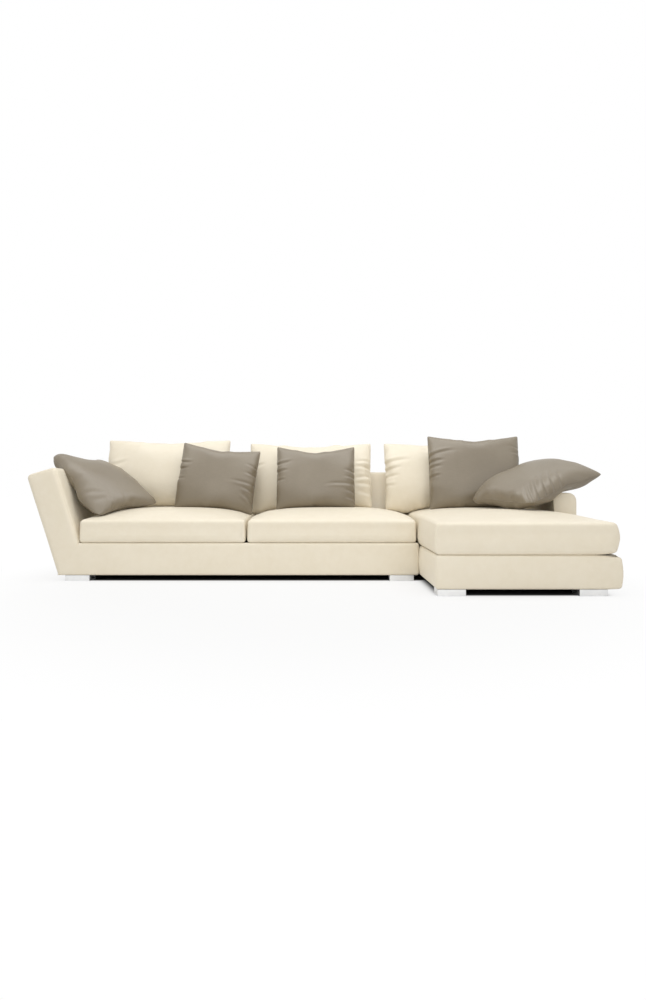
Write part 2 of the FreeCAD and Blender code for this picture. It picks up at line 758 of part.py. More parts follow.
# Plates under both modules, screwed up into their end rails
plates = []
link_screws = []
link_spots = (
    "(main_front_y + foot_front_inset + foot_width + link_foot_gap)",
    f"({BACK_Y} - foot_back_inset - foot_width - link_foot_gap - link_width)",
)
for index, y in enumerate(link_spots):
    middle = "(meeting_x - module_gap / 2)"
    plate = box(f"link_bar_{index}", "link_length", "link_width", "link_thickness",
                f"({middle} - link_length / 2)", y, "(foot_height - link_thickness)")
    pair = [
        screw(f"link_screw_{index}_{side}", f"({middle} + {side} * link_screw_reach)",
              f"({y} + link_width / 2)", "(foot_height - link_thickness)", "link_screw_grip")
        for side in (-1, 1)
    ]
    plates.append(plate)
    link_screws += pair
link_screw_set = keep("link_screws", group("link_screw_set", link_screws))
keep("link_plates", cut("link_plates_drilled", group("link_bars", plates), link_screw_set))

main_screws, main_blocks = feet(
    "main", f"({MAIN_LEFT} + main_foot_left_inset)", f"({MAIN_RIGHT} - main_foot_right_inset)",
    "main_front_y", BACK_Y,
)
chaise_screws, chaise_blocks = feet(
    "chaise", "(meeting_x + chaise_foot_left_inset)", f"({CHAISE_RIGHT} - chaise_foot_right_inset)",
    CHAISE_FRONT, BACK_Y,
)

inner_main = (
    f"({MAIN_LEFT} + {MAIN_FOOT} + frame_clearance)", f"({MAIN_RIGHT} - cover_wall - frame_clearance)",
    "(main_front_y + cover_wall + frame_clearance)", f"({BACK_Y} - {MAIN_FOOT} - frame_clearance)",
)
inner_chaise = (
    "(meeting_x + cover_wall + frame_clearance)", f"({CHAISE_RIGHT} - cover_wall - frame_clearance)",
    f"({CHAISE_FRONT} + cover_wall + frame_clearance)", f"({BACK_Y} - {CHAISE_FOOT} - frame_clearance)",
)
spacing = size("strap_spacing")
module_frame("main", *inner_main, "main_height", main_blocks, link_screw_set, 5)
suspension("main", *inner_main, "main_height", round(size("main_length") / spacing) - 1,
           round(size("base_depth") / spacing) - 1)
module_frame("chaise", *inner_chaise, "chaise_height", chaise_blocks, link_screw_set, 3)
suspension("chaise", *inner_chaise, "chaise_height", round(size("chaise_width") / spacing) - 1,
           round((size("base_depth") + size("chaise_projection")) / spacing) - 1)

main_base_cover()
chaise_base_cover()
left_arm()
back("main", f"({MAIN_LEFT} - {REACH})", f"({MAIN_RUN} + {REACH})", "main_height", MAIN_FOOT, True, 4)
back("chaise", "meeting_x", "chaise_width", "chaise_height", CHAISE_FOOT, False, 2)
right_arm()

# Seat cushions and their foam cores


def seat(label, core_label, left, right, front, back_limit, height, forms, bulge, extra=None):
    """A cushion between these limits: a soft wrap with its cover, and the foam core inside it.

    forms names the cells with the heights of its front edge, sides and crown, and the crown's depth."""
    bottom = f"(foot_height + {height} + seat_clearance)"
    space = box(label + "_space", f"({right} - {left})", f"({back_limit} - {front})", forms[2],
                left, front, bottom)
    core = box(
        core_label + "_foam", f"({right} - {left} - 2 * core_margin)",
        f"({back_limit} - {front} - 2 * core_margin)", "core_height",
        f"({left} + core_margin)", f"({front} + core_margin)", f"({bottom} + core_lift)",
    )
    tool = extra() if extra else None
    doc.recompute()
    width = space.Length.Value
    heights = [size(name) for name in forms]
    form = seat_form(width, space.Width.Value, *heights, size(bulge), size("seat_corner"))
    form.Placement = Placement(space.Placement.Base + Vector(width / 2, 0, 0), Rotation())
    if tool:
        form = form.cut(tool.Shape)
        core = cut(core_label + "_notched", core, tool)
        doc.recompute()
    soft(label, form.cut(core.Shape), Placement())
    keep(core_label, core)


def low_arm_space():
    """What the chaise cushion leaves free for the low arm."""
    gap = "chaise_arm_gap"
    return box("low_arm_space", f"(low_arm_width + {gap} + core_margin)", f"(base_depth + {gap})",
               "(2 * chaise_crown_height)", f"({CHAISE_RIGHT} - low_arm_width - {gap})",
               f"(main_front_y - {gap})", "foot_height")


seat_left = f"({MAIN_LEFT} + {MAIN_FOOT} + seat_gap_arm)"
seat_right = "(meeting_x - seat_gap_meeting)"
seat_width = f"(({seat_right} - {seat_left} - seat_gap_middle) / 2)"
main_limits = ("main_front_y", f"({BACK_Y} - {MAIN_FOOT} - seat_gap_back)", "main_height")
main_forms = ("seat_front_height", "seat_side_height", "seat_crown_height", "seat_crown_depth")
chaise_forms = ("chaise_front_height", "chaise_side_height", "chaise_crown_height", "chaise_crown_depth")
seat("seat_cushion_left", "seat_core_left", seat_left, f"({seat_left} + {seat_width})",
     *main_limits, main_forms, "seat_side_bulge")
seat("seat_cushion_right", "seat_core_right", f"({seat_right} - {seat_width})", seat_right,
     *main_limits, main_forms, "seat_side_bulge")
seat("chaise_cushion", "chaise_core", "(meeting_x + chaise_left_inset)",
     f"({CHAISE_RIGHT} - chaise_right_inset)", CHAISE_FRONT, f"({BACK_Y} - {CHAISE_FOOT} - seat_gap_back)",
     "chaise_height", chaise_forms, "chaise_side_bulge", low_arm_space)

# Back cushions: parallel to the leaning back, standing on the seats

lean = math.radians(size("slab_lean"))
up_lean = Vector(0, math.sin(lean), math.cos(lean))
off_back = Vector(0, -math.cos(lean), math.sin(lean))
main_deck = size("foot_height") + size("main_height")
main_foot_width = (size("slab_thickness") - size("main_height") * math.sin(lean)) / math.cos(lean)
main_left = size("meeting_x") - size("main_length")
back_edge_y = size("main_front_y") + size("base_depth")
back_foot = Vector(0, back_edge_y - main_foot_width, main_deck)
seat_top = LEAST_CROWN + size("foot_height") + size("seat_clearance") + max(
    size("main_height") + size("seat_crown_height"), size("chaise_height") + size("chaise_crown_height"),
)
rest_height = seat_top + size("rest_clearance")
left_centre = parts["seat_cushion_left"].Shape.BoundBox.Center.x
right_centre = parts["seat_cushion_right"].Shape.BoundBox.Center.x
chaise_centre = size("meeting_x") + (size("chaise_width") - size("low_arm_width")) / 2


def against(height, distance):
    """The point at this height whose distance from the inner face of the back is as given."""
    spot = back_foot + off_back * distance
    return spot + up_lean * ((height - spot.z) / up_lean.z)


for side, prefix, centre in (
    ("left", "back_left", left_centre), ("middle", "back", right_centre), ("right", "back", chaise_centre),
):
    wide, tall = size(prefix + "_width"), size(prefix + "_height")
    dips = (size("back_dip"), size("foot_dip"))
    form = pillow_form(wide, tall, size("back_thickness"), size("back_edge"), dips, size("back_drawn_in"))
    z = rest_height + tall / 2 * math.cos(lean) + size("back_edge") / 2 * math.sin(lean)
    spot = against(z, size("back_clearance") + size("back_thickness") / 2)
    soft(f"back_cushion_{side}", form,
         upright(centre + size(f"back_{side}_shift"), spot.y, z, lean=size("slab_lean")))

# Scatter cushions: three lean on the back cushions, one lies on the leaning arm and one over the low arm


def scatter_form(kind, lower_dip):
    return pillow_form(size(kind + "_width"), size(kind + "_height"), size(kind + "_thickness"),
                       size("scatter_edge"), (size("scatter_dip"), size(lower_dip)), size("scatter_drawn_in"))


def leaning_scatter(label, kind, x, lean_angle, roll=0, sink=0):
    """A scatter that leans on a back cushion; sink is how far a corner reaches down beside a seat's crown."""
    tilt = math.radians(lean_angle)
    swing = math.radians(abs(roll))
    half_high = size(kind + "_height") / 2 * math.cos(swing) + size(kind + "_width") / 2 * math.sin(swing)
    z = rest_height - sink + half_high * math.cos(tilt) + size("scatter_edge") / 2 * math.sin(tilt)
    clear = size("back_clearance") + size("back_thickness") + size("scatter_clearance")
    distance = clear + size(kind + "_thickness") / 2
    form = scatter_form(kind, "foot_dip")
    soft(label, form, upright(x, against(z, distance).y, z, 0, lean_angle, roll))


leaning_scatter("scatter_cushion_left", "small", left_centre + size("left_scatter_x"),
                size("left_scatter_lean"), size("left_scatter_roll"), size("left_scatter_sink"))
leaning_scatter("scatter_cushion_middle", "small", right_centre + size("middle_scatter_x"),
                size("middle_scatter_lean"))
leaning_scatter("scatter_cushion_right", "large", chaise_centre + size("right_scatter_x"),
                size("right_scatter_lean"))
arm_foot_x = main_left + main_foot_width
soft(
    "scatter_cushion_arm", scatter_form("small", "scatter_dip"),
    upright(arm_foot_x + size("arm_scatter_inset"), back_edge_y - size("arm_scatter_back_gap"),
            seat_top + size("arm_scatter_rise"), size("arm_scatter_turn"), size("arm_scatter_lean"),
            size("arm_scatter_roll") + 90),
)
low_arm_top = size("foot_height") + size("chaise_height") + size("low_arm_height")
low_arm_inner_x = size("meeting_x") + size("chaise_width") - size("low_arm_width")
soft(
    "scatter_cushion_over_arm", scatter_form("large", "scatter_dip"),
    upright(low_arm_inner_x - size("over_scatter_overhang"), back_edge_y - size("over_scatter_back_gap"),
            low_arm_top + size("over_scatter_rise"), size("over_scatter_turn"), size("over_scatter_lean"),
            size("over_scatter_roll")),
)

# Underside cloths, pierced by the screws of the feet and of the plates

dust_left = f"({MAIN_LEFT} + dust_thickness + frame_clearance)"
dust_back = f"({BACK_Y} - dust_thickness - frame_clearance)"
for prefix, edges, pins in (
    ("main", (dust_left, *inner_main[1:3]), main_screws), ("chaise", inner_chaise[:3], chaise_screws),
):
    pierced = dust_cover(prefix, *edges, dust_back, pins)
    keep(f"{prefix}_dust_cover", cut(f"{prefix}_dust_cover_cut", pierced, link_screw_set))

# Checks, then one file for each sub-part

doc.recompute()
for thing in doc.Objects:
    if "Invalid" in thing.State or "Error" in thing.State:
        raise ValueError(f"{thing.Label} failed: {thing.State}")
for label, thing in parts.items():
    if thing.Shape.isNull() or not thing.Shape.isValid() or not thing.Shape.Solids:
        raise ValueError(f"{label} has no valid solid")

os.makedirs("parts", exist_ok=True)
for label, thing in parts.items():
    thing.Shape.exportStep(f"parts/{label}.step")
    bounds = thing.Shape.BoundBox
    print(
        f"{label:26s} solids {len(thing.Shape.Solids):3d} volume {thing.Shape.Volume / 1000:10.1f} cm3 "
        f"x {bounds.XMin:8.1f} {bounds.XMax:8.1f} y {bounds.YMin:8.1f} {bounds.YMax:8.1f} "
        f"z {bounds.ZMin:7.1f} {bounds.ZMax:7.1f}"
    )
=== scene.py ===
import json
import math

import bmesh
import bpy
import numpy as np
from mathutils import Matrix, Vector
from mathutils.bvhtree import BVHTree


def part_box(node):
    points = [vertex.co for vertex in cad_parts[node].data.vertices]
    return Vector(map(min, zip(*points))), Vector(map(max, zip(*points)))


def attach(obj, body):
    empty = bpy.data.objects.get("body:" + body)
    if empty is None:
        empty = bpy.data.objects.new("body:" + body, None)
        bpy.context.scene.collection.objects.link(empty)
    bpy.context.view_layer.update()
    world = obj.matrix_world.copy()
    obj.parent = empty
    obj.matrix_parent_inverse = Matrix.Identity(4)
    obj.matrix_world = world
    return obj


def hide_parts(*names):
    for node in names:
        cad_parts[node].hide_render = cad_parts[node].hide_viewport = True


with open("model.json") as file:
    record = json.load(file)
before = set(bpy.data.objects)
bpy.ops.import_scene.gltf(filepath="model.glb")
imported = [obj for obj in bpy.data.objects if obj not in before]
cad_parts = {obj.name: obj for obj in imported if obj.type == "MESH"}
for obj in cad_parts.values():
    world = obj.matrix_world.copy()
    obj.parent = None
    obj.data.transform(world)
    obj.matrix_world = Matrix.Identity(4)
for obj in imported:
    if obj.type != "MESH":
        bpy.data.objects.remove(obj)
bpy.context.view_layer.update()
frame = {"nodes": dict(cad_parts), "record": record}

# Lean of the arm and the back, and the main sizes of the sofa, in metres
LEAN = math.radians(17.3)
SLAB, SLAB_TALL = 0.190, 0.642
BASE_Z, MAIN_TOP, CHAISE_TOP = 0.035, 0.236, 0.217
LEFT, MAIN_RIGHT, CHAISE_LEFT, RIGHT = -1.6105, 0.6365, 0.6395, 1.6245
FRONT, CHAISE_FRONT, BACK = -0.196, -0.781, 0.589


# Shader maths written as Python


class Value:
    """What comes out of a node; arithmetic on it adds Math nodes."""

    def __init__(self, tree, socket):
        self.tree = tree
        self.socket = socket

    def maths(self, operation, *others):
        return self.tree.node("ShaderNodeMath", {"operation": operation}, self, *others)

    def __add__(self, other):
        return self.maths("ADD", other)

    def __sub__(self, other):
        return self.maths("SUBTRACT", other)

    def __mul__(self, other):
        return self.maths("MULTIPLY", other)

    def __rsub__(self, other):
        return self.tree.node("ShaderNodeMath", {"operation": "SUBTRACT"}, other, self)

    __radd__ = __add__
    __rmul__ = __mul__

    def clamp(self, low, high, to_low=0.0, to_high=1.0):
        """Map the span from low to high onto another span, and hold what is outside it."""
        settings = {"interpolation_type": "SMOOTHSTEP", "clamp": True}
        if low > high:
            low, high, to_low, to_high = high, low, to_high, to_low
        return self.tree.node("ShaderNodeMapRange", settings, self, low, high, to_low, to_high)


class Nodes:
    """The node tree of a material or a world."""

    def __init__(self, owner):
        owner.use_nodes = True
        self.nodes = owner.node_tree.nodes
        self.links = owner.node_tree.links

    def feed(self, socket, source):
        if isinstance(source, Value):
            self.links.new(source.socket, socket)
        else:
            socket.default_value = source

    def node(self, kind, settings, *inputs, output=0, **named):
        """Add a node: settings first, then values or links by place or by name."""
        node = self.nodes.new(kind)
        for name, setting in settings.items():
            setattr(node, name, setting)
        for index, source in enumerate(inputs):
            self.feed(node.inputs[index], source)
        for name, source in named.items():
            self.feed(node.inputs[name.replace("_", " ")], source)
        return Value(self, node.outputs[output])

    def show(self, kind, shader):
        """Lead the shader to the tree's output."""
        self.feed(self.nodes.new(kind).inputs[0], shader)


class Finish(Nodes):
    """A material, its Principled shader and the nodes that feed it."""

    def __init__(self, name, **constants):
        self.material = bpy.data.materials.new(name)
        super().__init__(self.material)
        self.shader = self.nodes["Principled BSDF"]
        self.place = self.node("ShaderNodeTexCoord", {}, output="Object")
        self.cloth = self.node("ShaderNodeTexCoord", {}, output="UV")
        for socket, number in constants.items():
            self.feed(self.shader.inputs[socket.replace("_", " ")], number)

    def noise(self, scale, detail=3.0, rough=0.55, where=None, stretch=None):
        where = where or self.place
        if stretch:
            where = self.node("ShaderNodeMapping", {}, where, Scale=stretch)
        return self.node("ShaderNodeTexNoise", {}, Vector=where, Scale=scale, Detail=detail, Roughness=rough)

    def threads(self, way, scale, distortion, where):
        """Fine parallel bands across X, Y or Z."""
        return self.node("ShaderNodeTexWave", {"wave_type": "BANDS", "bands_direction": way}, Vector=where, Scale=scale,
                         Distortion=distortion, Detail=1.0, output=1)

    def mix(self, share, first, second):
        """A colour between two colours."""
        node = self.nodes.new("ShaderNodeMix")
        node.data_type = "RGBA"
        self.feed(node.inputs["Factor"], share)
        self.feed(node.inputs[6], first)
        self.feed(node.inputs[7], second)
        return Value(self, node.outputs[2])

    def bump(self, height, distance, strength=1.0, under=None):
        """Relief of the surface; a finer relief lies on a coarser one given as under."""
        node = self.nodes.new("ShaderNodeBump")
        node.inputs["Strength"].default_value = strength
        node.inputs["Distance"].default_value = distance
        self.feed(node.inputs["Height"], height)
        if under:
            self.feed(node.inputs["Normal"], under)
        return Value(self, node.outputs[0])

    def finish(self, colour=None, rough=None, normal=None, metal=None):
        inputs = {"Base Color": colour, "Roughness": rough, "Normal": normal, "Metallic": metal}
        for name, source in inputs.items():
            if source is not None:
                self.feed(self.shader.inputs[name], source)
        return self.material


def shade(red, green, blue):
    """A linear colour from the sRGB values of a swatch."""
    parts = []
    for part in (red, green, blue):
        part /= 255
        parts.append(part / 12.92 if part <= 0.04045 else ((part + 0.055) / 1.055) ** 2.4)
    return (*parts, 1.0)


def cream_leather():
    f = Finish("cream_leather", Specular_IOR_Level=0.5, Coat_Weight=0.12, Coat_Roughness=0.38,
               Sheen_Weight=0.06, Sheen_Roughness=0.5)
    pebbles = f.node("ShaderNodeTexVoronoi", {"feature": "SMOOTH_F1"}, Vector=f.place, Scale=620.0, Smoothness=0.55)
    pores = f.noise(1500.0, 2.0)
    cloud = f.noise(4.2, 4.0, 0.6)
    patch = f.noise(26.0, 3.0, 0.5)
    crease = f.noise(38.0, 5.0, 0.62, stretch=(1.0, 1.0, 1.6))
    tone = (cloud * 0.6 + patch * 0.4).clamp(0.3, 0.7)
    base = f.mix(tone, shade(229, 219, 198), shade(233, 224, 205))
    # Painted shade: in the grain's hollows, the low spots of the pebble and pore relief, the colour darkens a little
    # towards a shaded tone.
    painted_grain_shade = f.mix((pores * pebbles).clamp(0.02, 0.3, 0.07, 0.0), base, shade(200, 183, 153))
    rough = 0.43 + tone * 0.06 + pores.clamp(0.35, 0.65) * 0.05
    broad = f.bump(crease, 0.0016, 0.35)
    grain = f.bump(pebbles, 0.00035, 0.45, broad)
    return f.finish(painted_grain_shade, rough, f.bump(pores, 0.00012, 0.35, grain))


def taupe_satin():
    f = Finish("taupe_satin", Specular_IOR_Level=0.95, Sheen_Weight=0.2, Sheen_Roughness=0.3,
               Sheen_Tint=shade(226, 218, 204), Anisotropic=0.3)
    warp = f.threads("X", 260.0, 0.6, f.cloth)
    weft = f.threads("Y", 150.0, 0.8, f.cloth)
    slub = f.noise(18.0, 3.0, 0.6, where=f.cloth, stretch=(1.0, 14.0, 1.0))
    cloud = f.noise(5.0, 3.0)
    tone = (slub * 0.5 + cloud * 0.5).clamp(0.3, 0.7)
    thread = warp * 0.65 + weft * 0.35
    base = f.mix(tone, shade(120, 108, 88), shade(132, 121, 102))
    # Painted shade: between the threads, where the weave's relief is low, the colour darkens towards a shaded brown.
    colour = f.mix(thread.clamp(0.2, 0.8, 0.22, 0.0), base, shade(97, 85, 66))
    rough = 0.36 + tone * 0.08 + thread * 0.05
    soft = f.bump(f.noise(30.0, 4.0), 0.0012, 0.3)
    return f.finish(colour, rough, f.bump(thread, 0.00016, 0.5, soft))


def foot_steel():
    f = Finish("foot_steel", Specular_IOR_Level=0.6, Anisotropic=0.4)
    lines = f.noise(420.0, 4.0, 0.7, stretch=(0.03, 1.0, 1.0))
    smudge = f.noise(12.0, 3.0)
    colour = f.mix(smudge.clamp(0.3, 0.75), shade(232, 233, 235), shade(244, 245, 246))
    rough = 0.2 + lines * 0.16 + smudge * 0.06
    return f.finish(colour, rough, f.bump(lines, 0.0001, 0.35), 0.92)


def screw_steel():
    f = Finish("screw_steel", Specular_IOR_Level=0.5)
    grain = f.noise(900.0, 3.0)
    patch = f.noise(160.0, 3.0)
    colour = f.mix(patch.clamp(0.35, 0.7), shade(168, 164, 150), shade(196, 194, 186))
    return f.finish(colour, 0.3 + grain * 0.2, f.bump(grain, 0.0001, 0.4), 1.0)


def timber():
    f = Finish("timber", Specular_IOR_Level=0.3)
    rings = f.node("ShaderNodeTexWave", {"wave_type": "BANDS", "bands_direction": "Z"}, Vector=f.place, Scale=22.0,
                   Distortion=7.0, Detail=3.0, Detail_Scale=0.7, output=1)
    fibre = f.noise(160.0, 5.0, 0.7, stretch=(0.06, 1.0, 1.0))
    base = f.mix(rings.clamp(0.1, 0.9), shade(206, 172, 124), shade(176, 136, 88))
    colour = f.mix(fibre.clamp(0.4, 0.7, 0.0, 0.35), base, shade(146, 108, 66))
    return f.finish(colour, 0.6 + fibre * 0.2, f.bump(fibre + rings * 0.3, 0.0004, 0.5))


def woven_band(name, first, second, scale, depth):
    """Coarse plain weave, for the webbing, the deck cloth and the underside."""
    f = Finish(name, Specular_IOR_Level=0.25, Sheen_Weight=0.15, Sheen_Roughness=0.6)
    over = f.threads("X", scale, 0.5, f.place)
    under = f.threads("Y", scale, 0.5, f.place)
    fluff = f.noise(scale * 4, 4.0, 0.7)
    thread = over * under
    colour = f.mix((thread * 0.7 + fluff * 0.4).clamp(0.15, 0.8), second, first)
    return f.finish(colour, 0.75 + fluff * 0.2, f.bump(thread + fluff * 0.4, depth, 0.6))


def foam():
    f = Finish("foam", Specular_IOR_Level=0.2)
    cells = f.node("ShaderNodeTexVoronoi", {"feature": "F1"}, Vector=f.place, Scale=420.0)
    cloud = f.noise(9.0, 3.0)
    base = f.mix(cloud.clamp(0.3, 0.7), shade(236, 222, 170), shade(226, 206, 146))
    colour = f.mix(cells.clamp(0.1, 0.5, 0.35, 0.0), base, shade(186, 162, 104))
    return f.finish(colour, 0.9 - cells * 0.1, f.bump(cells, 0.0008, 0.6))


FINISHES = {
    "cream_leather": cream_leather(),
    "taupe_satin": taupe_satin(),
    "foot_steel": foot_steel(),
    "screw_steel": screw_steel(),
    "timber": timber(),
    "webbing": woven_band("webbing", shade(70, 66, 60), shade(34, 32, 30), 170.0, 0.0006),
    "deck_cloth": woven_band("deck_cloth", shade(206, 200, 188), shade(164, 156, 142), 320.0, 0.0004),
    "dust_cloth": woven_band("dust_cloth", shade(34, 32, 31), shade(14, 13, 13), 520.0, 0.0003),
    "foam": foam(),
}
for row in frame["record"]["subparts"]:
    node = frame["nodes"][row["node"]]
    node.data.materials.clear()
    node.data.materials.append(FINISHES[row["material_slot"]])


# Tools of the workshop


def pick(test, kind="verts"):
    """In edit mode, select the vertices, edges or faces of the piece that pass the test, and nothing else."""
    bpy.ops.mesh.select_mode(type={"verts": "VERT", "edges": "EDGE", "faces": "FACE"}[kind])
    bpy.ops.mesh.select_all(action="DESELECT")
    mesh = bmesh.from_edit_mesh(bpy.context.edit_object.data)
    for item in getattr(mesh, kind):
        if test(item):
            item.select_set(True)
    mesh.select_flush_mode()
    bmesh.update_edit_mesh(bpy.context.edit_object.data)


def activate(piece):
    """Make the piece the only selected one, and the active one."""
    bpy.ops.object.select_all(action="DESELECT")
    piece.select_set(True)
    bpy.context.view_layer.objects.active = piece


def edit(piece):
    """Open the piece in edit mode."""
    activate(piece)
    bpy.ops.object.mode_set(mode="EDIT")


def new_primitive(name, add, **settings):
    """Add a primitive, name it and open it in edit mode, with all of it selected."""
    bpy.ops.object.select_all(action="DESELECT")
    add(**settings)
    piece = bpy.context.active_object
    piece.name = piece.data.name = name
    edit(piece)
    bpy.ops.mesh.select_all(action="SELECT")
    return piece


def slice_through(place, way):
    """In edit mode, cut the piece's faces along a plane."""
    bpy.ops.mesh.select_all(action="SELECT")
    bpy.ops.mesh.bisect(plane_co=place, plane_no=way)


def close_shell(threshold):
    """In edit mode, join the points that coincide, turn all faces outwards and leave edit mode."""
    bpy.ops.mesh.select_all(action="SELECT")
    bpy.ops.mesh.remove_doubles(threshold=threshold)
    bpy.ops.mesh.normals_make_consistent(inside=False)
    bpy.ops.object.mode_set(mode="OBJECT")


def finished(piece, body, slot, nodes=(), angle=40):
    """Leave edit mode, shade the piece and hang it on its body."""
    if bpy.context.mode != "OBJECT":
        bpy.ops.object.mode_set(mode="OBJECT")
    activate(piece)
    bpy.ops.object.shade_smooth_by_angle(angle=math.radians(angle))
    piece.data.materials.clear()
    piece.data.materials.append(FINISHES[slot])
    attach(piece, body)
    if nodes:
        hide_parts(*nodes)
    return piece


def points(piece):
    """The places of the piece's vertices, a row each."""
    count = len(piece.data.vertices)
    flat = np.empty(count * 3)
    piece.data.vertices.foreach_get("co", flat)
    return flat.reshape(count, 3)


def put(piece, spots):
    """Move the piece's vertices to these places."""
    piece.data.vertices.foreach_set("co", spots.ravel())
    piece.data.update()


def normals(piece):
    flat = np.empty(len(piece.data.vertices) * 3)
    piece.data.vertices.foreach_get("normal", flat)
    return flat.reshape(-1, 3)


def smoothstep(low, high, amount):
    """From 0 at low to 1 at high, level at both ends."""
    share = np.clip((amount - low) / (high - low), 0, 1)
    return share * share * (3 - 2 * share)


# Upholstered covers: blocks with moved corners, rounded, then swollen a little between their seams


def block(name, corners, rounded, cells):
    """A six-sided block; corners maps the signs of a cube's corners to places.

    rounded lists (test on the edge's middle and direction, radius, steps), and cells lists (start, end, size of
    the cells) for the grid of the panels in each direction."""
    piece = new_primitive(name, bpy.ops.mesh.primitive_cube_add, size=2)
    for signs, place in corners.items():
        pick(lambda vertex: all(vertex.co[axis] == signs[axis] for axis in range(3)))
        bpy.ops.transform.translate(value=Vector(place) - Vector(signs))
    for test, radius, steps in rounded:
        pick(lambda edge: test((edge.verts[0].co + edge.verts[1].co) / 2,
                               (edge.verts[1].co - edge.verts[0].co).normalized()), "edges")
        bpy.ops.mesh.bevel(offset=radius, segments=steps, profile=0.5, affect="EDGES")
    for start, end, cell in cells:
        start, end = Vector(start), Vector(end)
        length = (end - start).length
        for index in range(1, round(length / cell)):
            slice_through(start.lerp(end, index * cell / length), (end - start).normalized())
    close_shell(0.0002)
    return piece


def swell(piece, seams, amount, reach, level=None):
    """Push the panels outwards, fully from this reach away from their seams; the stuffing isn't quite even.

    level is the place of a front panel that goes on in the next piece, so its whole edge moves straight out."""
    spots, ways = points(piece), normals(piece)
    if level is not None:
        ways[np.abs(spots[:, 1] - level) < 0.0005] = (0, -1, 0)
    nearest = np.full(len(spots), 1e9)
    for start, end in seams:
        start, end = np.array(start), np.array(end)
        along = end - start
        share = np.clip((spots - start) @ along / (along @ along), 0, 1)
        nearest = np.minimum(nearest, np.linalg.norm(spots - start - share[:, None] * along, axis=1))
    lift = amount * (1 - np.exp(-((nearest / reach) ** 1.6)))
    uneven = np.sin(spots[:, 0] * 9.1 + 1.3) * np.sin(spots[:, 1] * 11.3 + 0.4) * np.sin(spots[:, 2] * 12.7 + 2.1)
    put(piece, spots + ways * (lift * (1 + 0.35 * uneven))[:, None])


def grab(piece, pulls):
    """Pull the stuff near some places, as hands would; a single number fills it out along its normals."""
    spots = points(piece)
    for place, reach, move in pulls:
        near = np.exp(-(np.linalg.norm(spots - np.array(place), axis=1) / reach) ** 2)
        spots += near[:, None] * (np.array(move) if np.ndim(move) else normals(piece) * move)
    put(piece, spots)


def seam(name, piece, corners, signs, radius=0.0011, step=0.02):
    """A fine sewn edge that follows the piece's surface from corner to corner of its block."""
    route = [Vector(corners[sign]) for sign in signs]
    spots = []
    for start, end in zip(route, route[1:]):
        count = max(1, round((end - start).length / step))
        spots += [start.lerp(end, index / count) for index in range(count)]
    spots.append(route[-1])
    tree = BVHTree.FromObject(piece, bpy.context.evaluated_depsgraph_get())
    spots = [tree.find_nearest(spot)[0] for spot in spots]
    tube(name, spots, radius, "sofa_frame", "cream_leather")


def tube(name, spots, radius, body, slot, closed=False, sides=1):
    """A round cord along a list of points."""
    curve = bpy.data.curves.new(name, "CURVE")
    curve.dimensions = "3D"
    curve.bevel_depth = radius
    curve.bevel_resolution = sides
    curve.use_fill_caps = True
    spline = curve.splines.new("POLY")
    spline.points.add(len(spots) - 1)
    for point, spot in zip(spline.points, spots):
        point.co = (*spot, 1)
    spline.use_cyclic_u = closed
    cord = bpy.data.objects.new(name, curve)
    bpy.context.collection.objects.link(cord)
    activate(cord)
    bpy.ops.object.convert(target="MESH")
    finished(bpy.context.active_object, body, slot, angle=80)


def slab_spot(inward, along):
    """How far in and up a point of the leaning slab is from its outer lower corner."""
    return (inward * math.cos(LEAN) - along * math.sin(LEAN), inward * math.sin(LEAN) + along * math.cos(LEAN))


def foot_width(height):
    """How far in from the slab's outer lower corner its inner face starts, at this height above that corner."""
    return (SLAB - height * math.sin(LEAN)) / math.cos(LEAN)


# x + y on the diagonal of the corner, where the arm and the back meet
MITRE = LEFT + BACK
# The low arm: its inner face below and above, its outer face, and its height over the base
LOW_ARM, LOW_ARM_TOP, LOW_ARM_OUT, LOW_ARM_TALL = RIGHT - 0.135, RIGHT - 0.160, RIGHT - 0.012, 0.329
MAIN_FOOT = foot_width(MAIN_TOP - BASE_Z)
CHAISE_FOOT = foot_width(CHAISE_TOP - BASE_Z)
OUT_X, OUT_Z = slab_spot(0, SLAB_TALL)
IN_X, IN_Z = slab_spot(SLAB, SLAB_TALL)
SIGNS = [(x, y, z) for x in (-1, 1) for y in (-1, 1) for z in (-1, 1)]
# Heights of edges' middles: a block's lowest edges lie below LOW, those at a slab's foot below KNEE, and those at
# its top above HIGH
LOW, KNEE, HIGH = 0.10, 0.16, 0.60
# Left of this lie the outer lower edge of the leaning arm and the first steps of its rounding
ARM_SIDE = -1.6
# Sizes of the cells of the panels' grids, and where the grids end: along the slab's lean, behind the back, left of
# the corner, and behind the low arm
CELL, SLAB_CELL, LONG_CELL, BAND_CELL = 0.045, 0.048, 0.050, 0.034
PAST_TOP, PAST_BACK, PAST_CORNER, PAST_LOW_ARM = 0.70, 0.78, LEFT - 0.19, 0.55


def at(place, plane):
    """Whether the middle of an edge lies in a plane."""
    return abs(place - plane) < 0.001


def rims(corners, unsewn=()):
    """The twelve edges of a block, without the unsewn one."""
    return [(corners[a], corners[b]) for a in SIGNS for b in SIGNS
            if a < b and sum(first != second for first, second in zip(a, b)) == 1 and (a, b) != unsewn]


